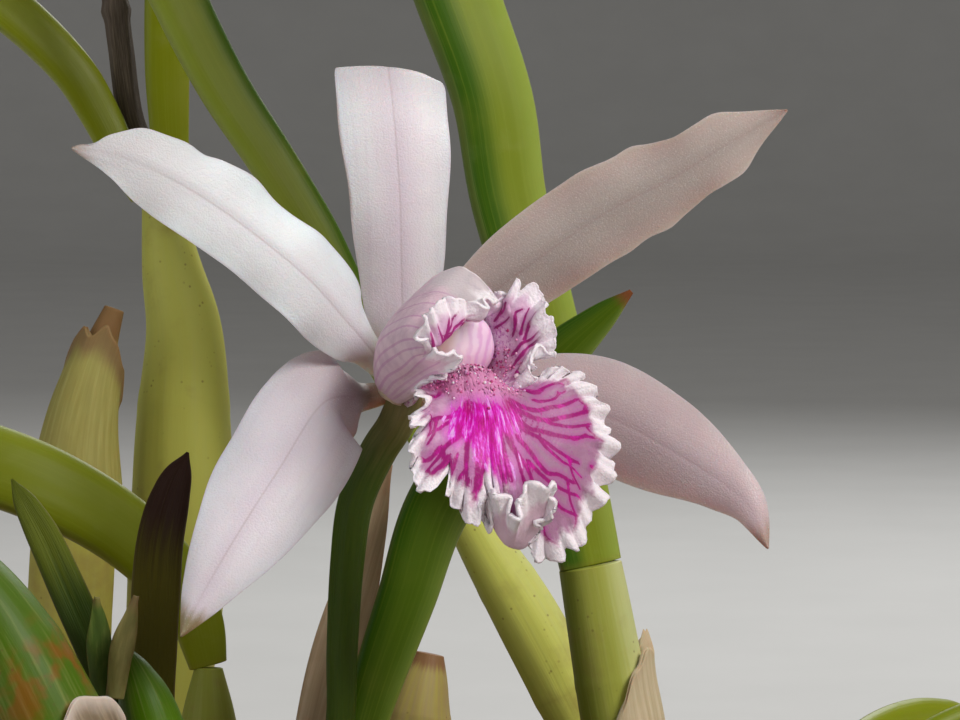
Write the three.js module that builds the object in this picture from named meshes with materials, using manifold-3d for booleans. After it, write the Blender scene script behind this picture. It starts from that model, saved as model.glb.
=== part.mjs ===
// Potted Microlaelia lundii: a small orchid in flower, growing in bark in a plain terracotta pot.
// Millimetres, +Z up, origin at the middle of the pot's flat base. The flower faces -Y.
import * as THREE from "three";
import { mergeVertices } from "three/addons/utils/BufferGeometryUtils.js";
import Module from "manifold-3d";

// Driving dimensions
const POT_HEIGHT = 76;
const POT_TOP_RADIUS = 46;
const POT_BASE_RADIUS = 31;
const POT_WALL = 4;
const POT_FLOOR = 5;
const RIM_DEPTH = 14;
const RIM_STEP = 2.2;
const DRAIN_COUNT = 3;
const DRAIN_RADIUS = 4;
const DRAIN_CIRCLE = 17;
const BARK_LEVEL = 68;
const BARK_TOP_RADIUS = 40;
const CHIP_COUNT = 30;
const CLEARANCE = 0.3;
const BLADE_THICKNESS = 0.6;
const RHIZOME_RADIUS = 1.4;
const ROOT_RADIUS = 0.8;
const FLOWER = [3.5, -12, 106];
const LIP_BASE = [0.5, -0.55, 0.25];
const LIP_BASE_RADIUS = 1.35;
const LIP_AXIS = [0.5, -0.82, 0.28];

const wasm = await Module();
wasm.setup();
const plant = new THREE.Group();
plant.name = "potted_microlaelia_lundii";

const vec = (point) => new THREE.Vector3(...point);
const fromFlower = (point) => vec(point).add(vec(FLOWER));

function surface(color, roughness) {
  return new THREE.MeshStandardMaterial({ color, roughness, metalness: 0, flatShading: true });
}

const terracotta = surface(0xb5653f, 0.85);
const bark = surface(0x5b3d28, 0.95);
const oldStem = surface(0x7d7a45, 0.7);
const bulbGreen = surface(0x8fa04c, 0.5);
const leafGreen = surface(0x5f8a2e, 0.45);
const youngGreen = surface(0x6fae2c, 0.4);
const darkShoot = surface(0x3b2415, 0.5);
const dryPaper = surface(0xb9a07c, 0.8);
const velamen = surface(0xc9c6b4, 0.85);
const tepalWhite = surface(0xe9dfe6, 0.5);
const lipPink = surface(0xd98ac6, 0.5);
const columnPink = surface(0xe6c4dc, 0.45);
const antherCream = surface(0xf1e6cf, 0.5);

function addPiece(name, geometry, material) {
  const mesh = new THREE.Mesh(geometry, material);
  mesh.name = name;
  plant.add(mesh);
  return mesh;
}

// A geometry from a list of Vector3 corners and triangles of their indices.
function solid(corners, triangles) {
  const geometry = new THREE.BufferGeometry();
  geometry.setAttribute("position", new THREE.Float32BufferAttribute(corners.flatMap((c) => c.toArray()), 3));
  geometry.setIndex(triangles);
  geometry.computeVertexNormals();
  return geometry;
}

// The value at t of a table of [t, value] pairs, joined by straight lines.
function along(table, t) {
  const last = table.length - 1;
  if (t >= table[last][0]) return table[last][1];
  const k = table.findIndex(([start], i) => i < last && t >= start && t <= table[i + 1][0]);
  const [t0, v0] = table[k];
  const [t1, v1] = table[k + 1];
  return v0 + ((v1 - v0) * (t - t0)) / (t1 - t0);
}

// A closed loft: one section shape swept along a curve through the points, its size from a profile table.
// The section's corners are [across, toward the hint] in units of the half width.
function loft({ points, halfWidth, profile, section, rings, hint = [0, -1, 0.01] }) {
  const curve = new THREE.CatmullRomCurve3(points.map(vec), false, "centripetal");
  const corners = [];
  const triangles = [];
  const sides = section.length;
  for (let i = 0; i <= rings; i++) {
    const t = i / rings;
    const centre = curve.getPointAt(t);
    const tangent = curve.getTangentAt(t);
    const across = tangent.clone().cross(vec(hint)).normalize();
    const toward = across.clone().cross(tangent);
    const size = halfWidth * along(profile, t);
    for (const [a, b] of section) {
      corners.push(centre.clone().addScaledVector(across, a * size).addScaledVector(toward, b * size));
    }
  }
  for (let i = 0; i < rings; i++) {
    for (let j = 0; j < sides; j++) {
      const a = i * sides + j;
      const b = i * sides + ((j + 1) % sides);
      triangles.push(a, b + sides, b, a, a + sides, b + sides);
    }
  }
  for (const [ring, turn] of [[0, 1], [rings, -1]]) {
    const middle = corners.length;
    corners.push(curve.getPointAt(ring / rings));
    for (let j = 0; j < sides; j++) {
      const a = ring * sides + j;
      const b = ring * sides + ((j + 1) % sides);
      triangles.push(...(turn > 0 ? [a, b, middle] : [b, a, middle]));
    }
  }
  return solid(corners, triangles);
}

// A blade of even thickness round a grid of points, both faces split along the same diagonals.
function blade(grid, thickness) {
  const rows = grid.length;
  const columns = grid[0].length;
  const clampTo = (k, top) => Math.min(Math.max(k, 0), top);
  const normalAt = (i, j) => {
    const down = grid[clampTo(i + 1, rows - 1)][j].clone().sub(grid[clampTo(i - 1, rows - 1)][j]);
    const over = grid[i][clampTo(j + 1, columns - 1)].clone().sub(grid[i][clampTo(j - 1, columns - 1)]);
    return down.cross(over).normalize();
  };
  const corners = [];
  for (const side of [0.5, -0.5]) {
    for (let i = 0; i < rows; i++) {
      for (let j = 0; j < columns; j++) {
        corners.push(grid[i][j].clone().addScaledVector(normalAt(i, j), side * thickness));
      }
    }
  }
  const back = rows * columns;
  const triangles = [];
  for (let i = 0; i < rows - 1; i++) {
    for (let j = 0; j < columns - 1; j++) {
      const a = i * columns + j;
      const b = a + columns;
      triangles.push(a, b, b + 1, a, b + 1, a + 1);
      triangles.push(back + b + 1, back + b, back + a, back + a + 1, back + b + 1, back + a);
    }
  }
  const border = [];
  for (let j = 0; j < columns - 1; j++) border.push(j);
  for (let i = 0; i < rows - 1; i++) border.push(i * columns + columns - 1);
  for (let j = columns - 1; j > 0; j--) border.push((rows - 1) * columns + j);
  for (let i = rows - 1; i > 0; i--) border.push(i * columns);
  border.forEach((a, k) => {
    const b = border[(k + 1) % border.length];
    triangles.push(a, b, back + b, a, back + b, back + a);
  });
  return solid(corners, triangles);
}

// manifold-3d solid of a geometry, and back.
function toManifold(geometry) {
  const bare = geometry.clone();
  bare.deleteAttribute("normal");
  bare.deleteAttribute("uv");
  const merged = mergeVertices(bare, 1e-4);
  const triVerts = new Uint32Array(merged.index.array);
  return new wasm.Manifold(
    new wasm.Mesh({ numProp: 3, vertProperties: merged.attributes.position.array, triVerts }),
  );
}

function toGeometry(manifold) {
  const { vertProperties, triVerts } = manifold.getMesh();
  const geometry = new THREE.BufferGeometry();
  geometry.setAttribute("position", new THREE.BufferAttribute(vertProperties, 3));
  geometry.setIndex(new THREE.BufferAttribute(triVerts, 1));
  geometry.computeVertexNormals();
  return geometry;
}

const seededRandom = (seed) => () => {
  seed = (seed * 1664525 + 1013904223) % 4294967296;
  return seed / 4294967296;
};

// Pot: turned in one piece, with a thicker rim and drain holes in the floor
const wallSlope = (POT_TOP_RADIUS - RIM_STEP - POT_BASE_RADIUS) / (POT_HEIGHT - RIM_DEPTH);
const innerRadius = (z) => POT_BASE_RADIUS - POT_WALL + wallSlope * z;
const potProfile = [
  [0, -1],
  [POT_BASE_RADIUS - 1, -1],
  [POT_BASE_RADIUS - 1, 0],
  [POT_BASE_RADIUS, 1],
  [POT_TOP_RADIUS - RIM_STEP, POT_HEIGHT - RIM_DEPTH],
  [POT_TOP_RADIUS - 0.8, POT_HEIGHT - RIM_DEPTH],
  [POT_TOP_RADIUS, POT_HEIGHT - RIM_DEPTH + 1.2],
  [POT_TOP_RADIUS, POT_HEIGHT - 1.2],
  [POT_TOP_RADIUS - 1.2, POT_HEIGHT],
  [POT_TOP_RADIUS - POT_WALL + 1, POT_HEIGHT],
  [innerRadius(POT_HEIGHT - 2), POT_HEIGHT - 2],
  [innerRadius(POT_FLOOR), POT_FLOOR],
  [0, POT_FLOOR],
].map(([r, z]) => new THREE.Vector2(r, z));
let pot = toManifold(new THREE.LatheGeometry(potProfile, 39).rotateX(Math.PI / 2));
for (let k = 0; k < DRAIN_COUNT; k++) {
  const turn = (Math.PI * (2 * k + 1)) / DRAIN_COUNT;
  const drain = new THREE.CylinderGeometry(DRAIN_RADIUS, DRAIN_RADIUS, POT_FLOOR * 2, 12)
    .rotateX(Math.PI / 2)
    .translate(DRAIN_CIRCLE * Math.cos(turn), DRAIN_CIRCLE * Math.sin(turn), POT_FLOOR / 2);
  pot = pot.subtract(toManifold(drain));
}
const below = new THREE.BoxGeometry(POT_TOP_RADIUS * 2, POT_TOP_RADIUS * 2, POT_FLOOR)
  .translate(0, 0, -POT_FLOOR / 2);
pot = pot.subtract(toManifold(below));
addPiece("pot", toGeometry(pot), terracotta);

// Section shapes: round for stems and bulbs, grooved on the upper side for the thick narrow leaves
const roundSection = (sides) =>
  Array.from({ length: sides }, (_, k) => {
    const angle = (2 * Math.PI * k) / sides;
    return [Math.cos(angle), Math.sin(angle)];
  });
const LEAF_SECTION = [
  [1, 0.1], [0.62, 0.34], [0, 0.02], [-0.62, 0.34], [-1, 0.1], [-0.72, -0.52], [0, -0.8], [0.72, -0.52],
];
const LEAF_PROFILE = [[0, 0.52], [0.08, 0.66], [0.3, 0.86], [0.55, 1], [0.78, 0.86], [0.92, 0.5], [1, 0.08]];
const BULB_PROFILE = [[0, 0.42], [0.12, 0.6], [0.35, 0.93], [0.6, 1], [0.82, 0.74], [1, 0.38]];
const SHOOT_PROFILE = [[0, 0.7], [0.3, 0.9], [0.7, 1], [0.86, 0.95], [0.94, 0.72], [1, 0.06]];
const STEM_PROFILE = [[0, 1], [1, 1]];

// Growths: each pseudobulb stands on the rhizome at bark level and carries one or two leaves
const growths = [
  {
    name: "young", halfWidth: 2.1, material: youngGreen,
    bulb: [[-0.8, -9.9, 70], [-0.6, -10, 78], [-0.3, -10, 82.2]],
    leaves: [
      {
        name: "leaf_young", halfWidth: 1.95, material: youngGreen,
        points: [[0.4, -9.2, 82.7], [1.7, -8.6, 87.3], [3.7, -7.4, 93], [5.5, -6.2, 98.2], [9.3, -5.2, 103.4],
          [12.8, -5, 107.2], [15.2, -4.9, 109.4], [17, -5.1, 111]],
      },
    ],
  },
  {
    name: "back", halfWidth: 2.75, material: bulbGreen,
    profile: [[0, 0.42], [0.12, 0.6], [0.35, 0.8], [0.6, 0.84], [0.82, 0.78], [1, 0.72]],
    bulb: [[18.6, 2.4, 70], [18, 2.9, 77.5], [17, 3.3, 82], [16.2, 3.7, 86.2], [15.5, 3.9, 90.1],
      [14.9, 4.1, 93.4]],
    leaves: [
      {
        name: "leaf_back", halfWidth: 2.8, material: leafGreen,
        profile: [[0, 0.72], [0.08, 0.77], [0.3, 0.87], [0.55, 1], [0.78, 0.86], [0.92, 0.5], [1, 0.08]],
        points: [[14.8, 4.2, 93.9], [13.8, 4.5, 98.8], [13, 4.9, 103.8], [11.5, 5.3, 109.9], [9.8, 5.7, 116.1],
          [8.8, 6.2, 122.3], [6.7, 6.6, 128.4], [3.6, 7.2, 137], [-0.6, 8.2, 147], [-5.2, 9.8, 156],
          [-10, 11.6, 164]],
      },
    ],
  },
  {
    name: "left", halfWidth: 3.4, material: bulbGreen,
    bulb: [[-13.4, 22.8, 70], [-13.2, 24.3, 80.5], [-12.5, 24.9, 88.6], [-12, 25.3, 95.3], [-11.9, 25.7, 100.7],
      [-11.9, 26.1, 106.8], [-12.7, 26.4, 110.8], [-13.5, 26.8, 115.6]],
    leaves: [
      {
        name: "leaf_left_low", halfWidth: 1.95, material: leafGreen,
        points: [[-14.8, 26.5, 116.2], [-16.2, 26.7, 118.6], [-17.6, 27.2, 121.3], [-19.4, 27.4, 124.2],
          [-23.6, 27.7, 128.3], [-30, 28.5, 132.6], [-37.5, 29.6, 135.6], [-45, 30.8, 137], [-52, 32, 136.6]],
      },
      {
        name: "leaf_left_high", halfWidth: 2, material: leafGreen,
        points: [[-12.7, 26.9, 116.1], [-12.9, 26.6, 120.9], [-13, 26.8, 125], [-12.6, 27.5, 133],
          [-11.2, 28.9, 144], [-9.2, 30.6, 155], [-7.2, 32.4, 165]],
      },
    ],
  },
  {
    name: "middle", halfWidth: 2.2, material: bulbGreen,
    bulb: [[16.4, 15.9, 70], [15.6, 16.2, 79.3], [13.3, 16.6, 84.5], [10.9, 16.9, 89], [8.1, 17.2, 93.6],
      [5.1, 17.6, 98.9]],
    leaves: [
      {
        name: "leaf_middle", halfWidth: 1.95, material: leafGreen,
        points: [[4.7, 17.6, 99.6], [2.8, 17.9, 103.4], [-1.1, 18.4, 110.5], [-2.7, 18.6, 113.7],
          [-5.6, 18.9, 118.4], [-8.8, 19.3, 123.3], [-12.2, 19.8, 130], [-15.8, 20.7, 138], [-20, 22.2, 147.5],
          [-24.5, 24.2, 157], [-29, 26.5, 165]],
      },
    ],
  },
  {
    name: "far_left", halfWidth: 2.8, material: bulbGreen,
    profile: [[0, 0.42], [0.12, 0.6], [0.35, 0.93], [0.6, 1], [0.8, 0.68], [1, 0.24]],
    bulb: [[-19.2, 17.2, 70], [-19.1, 18.4, 81.5], [-18.9, 18.9, 89.4], [-18.6, 19.4, 96], [-18.1, 19.7, 101.3],
      [-17, 20.1, 105.8], [-16, 20.3, 108.6]],
    leaves: [],
  },
  {
    name: "front", halfWidth: 2.3, material: bulbGreen,
    bulb: [[-8.8, 0.8, 70], [-8.7, 1.3, 76], [-8.6, 1.9, 82], [-8.6, 2.4, 87.4]],
    leaves: [
      {
        name: "leaf_front", halfWidth: 2.6, material: leafGreen,
        profile: [[0, 0.46], [0.06, 0.62], [0.2, 0.86], [0.5, 1], [0.78, 0.86], [0.92, 0.5], [1, 0.08]],
        points: [[-8.8, 2.6, 88.2], [-9.3, 2.7, 90.3], [-10.2, 2.7, 92.2], [-11.8, 2.4, 94.2], [-14.1, 1.7, 96.3],
          [-16.9, 0.6, 98.2], [-20, -0.8, 99.8], [-23.6, -3.2, 101.2], [-28.2, -7, 102.5], [-34.2, -12.8, 103.3],
          [-40.3, -18.5, 102.9]],
      },
    ],
  },
  {
    name: "low_left", halfWidth: 3.3, material: bulbGreen,
    bulb: [[-12.8, -19.9, 70], [-13.6, -19.6, 80], [-15, -19.3, 85.5], [-16.4, -19.1, 88.3], [-18, -18.9, 91.6],
      [-19.7, -18.7, 94.4], [-21.4, -18.6, 96.4], [-24, -18.4, 99.2]],
    leaves: [
      {
        name: "leaf_low_left_upper", halfWidth: 2.1, material: leafGreen,
        points: [[-24.3, -17.5, 100.4], [-27.5, -17, 105], [-32, -16.4, 112], [-38, -15.6, 121],
          [-45, -14.4, 130], [-52, -13, 137]],
      },
      {
        name: "leaf_low_left_lower", halfWidth: 2.1, material: leafGreen,
        points: [[-25.2, -19.4, 99.2], [-29, -21.3, 102.4], [-36, -24.6, 106], [-44, -28, 107], [-52, -31, 105],
          [-59, -33.5, 100]],
      },
    ],
  },
  {
    name: "new_shoot", halfWidth: 1.95, material: youngGreen,
    profile: [[0, 0.4], [0.12, 0.6], [0.5, 1], [0.8, 0.88], [0.93, 0.52], [1, 0.2]],
    bulb: [[-7.6, -13.8, 70], [-8.6, -13.6, 79], [-10, -13.3, 84.5], [-11.3, -13.1, 88.6], [-12.2, -13, 91]],
    leaves: [],
  },
  {
    name: "right", halfWidth: 2, material: bulbGreen,
    bulb: [[26.5, 9.5, 70], [28, 10.3, 73], [30, 11.2, 75.8]],
    leaves: [
      {
        name: "leaf_right_upper", halfWidth: 2.1, material: leafGreen,
        points: [[31.1, 11, 76.3], [34.8, 12.2, 79.4], [40, 14.6, 81.6], [48, 18, 82], [57, 21, 78.5],
          [64, 23.5, 72]],
      },
      {
        name: "leaf_right_back", halfWidth: 2, material: leafGreen,
        points: [[30.2, 12.7, 76.3], [32.6, 18, 79], [36.6, 25.5, 79.6], [42, 34, 78.2], [47, 42, 73.5]],
      },
    ],
  },
  {
    name: "right_front", halfWidth: 2.2, material: bulbGreen,
    bulb: [[20.5, -26.5, 70], [21.6, -28, 74], [23.2, -29.8, 78.5]],
    leaves: [
      {
        name: "leaf_right_front_outer", halfWidth: 2.1, material: leafGreen,
        points: [[24.4, -29.9, 78.9], [29.4, -33.6, 82.5], [37, -39, 83.5], [46, -44, 80.5], [55, -48.5, 74]],
      },
      {
        name: "leaf_right_front_inner", halfWidth: 2, material: leafGreen,
        points: [[22.8, -31.2, 78.9], [23, -36.5, 82.2], [24, -44, 82.4], [24.6, -53, 78.5], [25, -61, 71]],
      },
    ],
  },
  {
    name: "right_middle", halfWidth: 2.1, material: bulbGreen,
    bulb: [[27, -15, 70], [28.5, -15.5, 74], [30.3, -16.2, 78]],
    leaves: [
      {
        name: "leaf_right_middle", halfWidth: 2.1, material: leafGreen,
        points: [[30.9, -16.4, 78.8], [36, -18, 82.5], [44, -20.5, 84.5], [53, -23, 82.5], [61, -25, 77]],
      },
    ],
  },
  {
    name: "old_back", halfWidth: 2.6, material: oldStem,
    bulb: [[3, 30.3, 70], [3.6, 30.9, 79], [4.6, 31.5, 84]],
    leaves: [],
  },
  {
    name: "oldest", halfWidth: 2.3, material: oldStem,
    bulb: [[-8.5, 33.2, 70], [-9.4, 33.9, 74], [-10.8, 34.6, 78]],
    leaves: [],
  },
];

// What is sunk in the bark, a little larger than the pieces themselves so that the bark clears them
const sunk = [];
function sink(shape, clearance) {
  const points = shape.points.map(vec);
  const beyond = (a, b) => a.clone().sub(b).setLength(clearance).add(a).toArray();
  const first = beyond(points[0], points[1]);
  const last = beyond(points[points.length - 1], points[points.length - 2]);
  const ends = { points: [first, ...shape.points, last], halfWidth: shape.halfWidth + clearance * 1.35 };
  sunk.push(loft({ ...shape, ...ends }));
}
for (const growth of growths) {
  const { bulb: points, halfWidth, profile = BULB_PROFILE } = growth;
  const bulb = { points, halfWidth, profile, section: roundSection(8), rings: 8 };
  addPiece("bulb_" + growth.name, loft(bulb), growth.material);
  const foot = { ...bulb, points: growth.bulb.slice(0, 2), profile: [[0, 0.5], [1, 0.9]], rings: 1 };
  sink(foot, CLEARANCE);
  for (const leaf of growth.leaves) {
    const shape = { profile: LEAF_PROFILE, ...leaf, section: LEAF_SECTION, rings: 11, hint: [0.3, -1, 0.6] };
    addPiece(leaf.name, loft(shape), leaf.material);
  }
}

// Rhizomes: creeping stems half sunk in the bark, under the pseudobulbs
const rhizomes = [
  {
    name: "rhizome_main", rings: 20,
    points: [[-10, 33.8, 68.2], [-8.5, 33.3, 68.2], [3, 30.3, 68.2], [12, 25, 68.2], [16.4, 15.9, 68.2], [19, 9, 68.2],
      [18.6, 2.4, 68.2], [10, -4, 68.2], [-0.8, -9.9, 68.2], [-7.6, -13.8, 68.2], [-12.8, -19.8, 68.2],
      [-13.8, -21, 68.2]],
  },
  {
    name: "rhizome_left", rings: 13,
    points: [[-7.2, 0.6, 68.2], [-8.8, 0.8, 68.2], [-14, 1.4, 68.2], [-19.5, 5, 68.2], [-20.8, 11.5, 68.2],
      [-19.2, 17.2, 68.2], [-13.4, 22.8, 68.2], [-12, 24, 68.2]],
  },
  {
    name: "rhizome_right", rings: 18,
    points: [[-3, -30.6, 68.2], [-1.5, -31, 68.2], [9, -31.5, 68.2], [20.5, -26.5, 68.2], [27, -15, 68.2],
      [28.5, -3, 68.2], [26.5, 9.5, 68.2], [26, 11, 68.2]],
  },
];
for (const rhizome of rhizomes) {
  const shape = {
    ...rhizome, profile: STEM_PROFILE, section: roundSection(6), hint: [0, 0, 1], halfWidth: RHIZOME_RADIUS,
  };
  addPiece(rhizome.name, loft(shape), oldStem);
  sink(shape, CLEARANCE);
}

// Two shoots that rise straight out of the bark, each in a plain hole
const shoots = [
  {
    name: "shoot_red", halfWidth: 1.45, material: darkShoot,
    points: [[-11.6, -7.8, 66], [-11.4, -7.4, 80], [-11.3, -7.3, 87], [-11, -6.9, 92.9], [-10.7, -6.7, 96.5],
      [-10, -6.4, 99.4], [-9.1, -6.3, 101.6]],
  },
  {
    name: "shoot_dark_green", halfWidth: 1.1, material: leafGreen,
    points: [[-9.4, -10.1, 66], [-11.8, -10.4, 84], [-12.9, -10.5, 87.6], [-14.2, -10.5, 90.5], [-16, -10.4, 94.6],
      [-17.2, -10.2, 97.2], [-19, -10, 100.4]],
  },
];
for (const shoot of shoots) {
  const shape = { ...shoot, profile: SHOOT_PROFILE, section: LEAF_SECTION, rings: 10, hint: [0, -1, 0.1] };
  addPiece(shoot.name, loft(shape), shoot.material);
  const hole = { points: shoot.points.slice(0, 2), profile: STEM_PROFILE, section: roundSection(6), rings: 1 };
  sink({ ...hole, halfWidth: shoot.halfWidth }, CLEARANCE);
}

// Roots: leave the rhizome, arch over the chips and dive into the bark
const roots = [
  {
    name: "root_front",
    points: [[-4.2, -14.4, 68.9], [-4.6, -17, 70], [-3, -22, 70.4], [1.5, -25.5, 68.5], [3, -26.8, 63]],
  },
  {
    name: "root_left",
    points: [[-9.5, -18.6, 68.6], [-7, -22, 70.2], [-9.5, -28, 70.4], [-14, -31, 67.5], [-16, -32, 62]],
  },
  {
    name: "root_right",
    points: [[14.6, -3.4, 68.8], [15.5, -7.5, 70.6], [13, -13, 70.8], [12, -18.5, 68.4], [12, -20.5, 63]],
  },
  {
    name: "root_back",
    points: [[9.5, 23.8, 68.8], [5, 21.5, 70.5], [-1, 19.5, 70.4], [-4.5, 15.5, 68], [-5.5, 14, 63]],
  },
  {
    name: "root_middle",
    points: [[13.9, 13.6, 68.8], [9, 11, 70.6], [3.5, 9.4, 70.6], [-0.5, 8, 69], [-3, 7, 66], [-3.8, 6.6, 62]],
  },
];
for (const root of roots) {
  const shape = {
    ...root, profile: STEM_PROFILE, section: roundSection(5), rings: 8, hint: [0.2, 0, 1], halfWidth: ROOT_RADIUS,
  };
  addPiece(root.name, loft(shape), velamen);
  sink(shape, CLEARANCE);
}

// Bark bed: the pot's filling with chips bedded in its top, cut clear of what is sunk in it
function barkBed() {
  const gap = CLEARANCE + 0.1;
  const bottom = POT_FLOOR + gap;
  const profile = [
    [0, bottom],
    [innerRadius(bottom) - gap, bottom],
    [innerRadius(BARK_LEVEL - 3) - gap, BARK_LEVEL - 3],
    [BARK_TOP_RADIUS - 3, BARK_LEVEL - 1],
    [BARK_TOP_RADIUS * 0.5, BARK_LEVEL - 0.4],
    [0, BARK_LEVEL - 0.4],
  ].map(([r, z]) => new THREE.Vector2(r, z));
  let bed = toManifold(new THREE.LatheGeometry(profile, 26).rotateX(Math.PI / 2));
  const random = seededRandom(11);
  for (let k = 0; k < CHIP_COUNT; k++) {
    const turn = k * 2.39996;
    const away = (BARK_TOP_RADIUS - 6.5) * Math.sqrt((k + 0.5) / CHIP_COUNT);
    const size = [8 + 6 * random(), 5 + 4 * random(), 4 + 2 * random()];
    const chip = new THREE.BoxGeometry(...size)
      .rotateX((random() - 0.5) * 0.5)
      .rotateY((random() - 0.5) * 0.5)
      .rotateZ(random() * Math.PI)
      .translate(away * Math.cos(turn), away * Math.sin(turn), BARK_LEVEL - 1.4 + 0.6 * random());
    bed = bed.add(toManifold(chip));
  }
  for (const stem of sunk) bed = bed.subtract(toManifold(stem));
  const pieces = bed.decompose();
  return pieces.reduce((a, b) => (a.volume() > b.volume() ? a : b));
}
addPiece("bark_bed", toGeometry(barkBed()), bark);

// Dry stalk of an old flower, and the papery sheaths and bracts on the growths
const stalk = {
  points: [[-14.1, 29, 116.2], [-14.7, 29.1, 118.5], [-15.7, 29.2, 121], [-16.4, 29.6, 126], [-17, 30, 131],
    [-18.2, 30.7, 138], [-20.5, 31.7, 145]],
  halfWidth: 0.9, profile: [[0, 1], [0.8, 0.9], [1, 0.5]], section: roundSection(6), rings: 9,
};
addPiece("dry_stalk", loft(stalk), dryPaper);

// A papery sleeve part of the way round a pseudobulb, drawn to a point at its top.
function sleeve({ bulb, halfWidth, profile = BULB_PROFILE, from, to, middle, wrap }) {
  const curve = new THREE.CatmullRomCurve3(bulb.map(vec), false, "centripetal");
  const grid = [];
  for (let i = 0; i <= 6; i++) {
    const row = [];
    for (let j = 0; j <= 8; j++) {
      const v = (2 * j) / 8 - 1;
      const t = from + (to - from) * (i / 6) * (1 - 0.3 * v * v);
      const tangent = curve.getTangentAt(t);
      const front = vec([Math.cos(middle), Math.sin(middle), 0]);
      const side = tangent.clone().cross(front).normalize();
      const out = side.clone().cross(tangent);
      const radius = halfWidth * along(profile, t) + CLEARANCE + 0.2 + BLADE_THICKNESS / 2 + 0.25 * (i / 6);
      const angle = (v * wrap) / 2;
      row.push(curve.getPointAt(t).addScaledVector(out, radius * Math.cos(angle))
        .addScaledVector(side, radius * Math.sin(angle)));
    }
    grid.push(row);
  }
  return blade(grid, BLADE_THICKNESS);
}
const growthNamed = (name) => growths.find((growth) => growth.name === name);
const sleeves = [
  { name: "sheath_back", of: "back", from: 0.2, to: 0.8, middle: 0.1, wrap: 3.5 },
  { name: "sheath_far_left", of: "far_left", from: 0.64, to: 0.96, middle: -1.7, wrap: 4.2 },
  { name: "sheath_low_left", of: "low_left", from: 0.2, to: 0.57, middle: -0.9, wrap: 3.7 },
];
for (const { name, of, ...shape } of sleeves) {
  const { bulb, halfWidth, profile } = growthNamed(of);
  addPiece(name, sleeve({ bulb, halfWidth, profile, ...shape }), dryPaper);
}

// A blade along a centre line: half width from a profile, curled across by the cup.
function petalGrid({ points, width, profile, facing, cup, rows = 14, columns = 4, place = vec }) {
  const curve = new THREE.CatmullRomCurve3(points.map(place), false, "centripetal");
  const grid = [];
  for (let i = 0; i <= rows; i++) {
    const t = i / rows;
    const tangent = curve.getTangentAt(t);
    const hint = vec([0, 1, 2].map((k) => along(facing.map(([s, face]) => [s, face[k]]), t)));
    const across = tangent.clone().cross(hint).normalize();
    const front = across.clone().cross(tangent);
    const row = [];
    for (let j = 0; j <= columns; j++) {
      const v = (2 * j) / columns - 1;
      row.push(curve.getPointAt(t)
        .addScaledVector(across, (v * width * along(profile, t)) / 2)
        .addScaledVector(front, along(cup, t) * v * v));
    }
    grid.push(row);
  }
  return grid;
}
const bracts = [
  {
    name: "bract_tan", width: 3.1, points: [[-2.7, -8, 79], [-1, -5.4, 87], [1.2, -3.9, 95], [2.7, -3.7, 100.6]],
  },
  {
    name: "bract_new_left", width: 1.3, points: [[-13.6, -12.9, 88.2], [-13.7, -12.8, 91], [-13.8, -12.9, 93.9]],
  },
  {
    name: "bract_new_right", width: 1.2,
    points: [[-12.6, -15, 88.4], [-12.2, -14.8, 91.2], [-11.4, -14.6, 94.2]],
  },
];
for (const bract of bracts) {
  const shape = {
    ...bract, profile: [[0, 0.7], [0.5, 1], [0.8, 0.6], [1, 0.2]], facing: [[0, [0.2, -1, 0.1]], [1, [0.2, -1, 0.1]]],
    cup: [[0, -0.25], [0.5, -0.2], [1, 0]], rows: 7, columns: 2,
  };
  addPiece(bract.name, blade(petalGrid(shape), BLADE_THICKNESS), dryPaper);
}

// Flower stalk and ovary, from the young pseudobulb to the back of the flower
const pedicel = {
  points: [[-0.7, -11.3, 82.7], [0, -11.1, 86.4], [0.1, -10.7, 90.5], [0.4, -10, 95.7], [0.9, -9.6, 99.1],
    [2.2, -9.7, 102], [3.2, -10.2, 103.6], [3.8, -10.7, 105.3], [3.9, -10.8, 106.3]],
  halfWidth: 1.1, profile: [[0, 0.75], [0.3, 0.85], [0.75, 1], [0.93, 1], [1, 0.85]], section: roundSection(8), rings: 12,
};
addPiece("pedicel", loft(pedicel), youngGreen);

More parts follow.
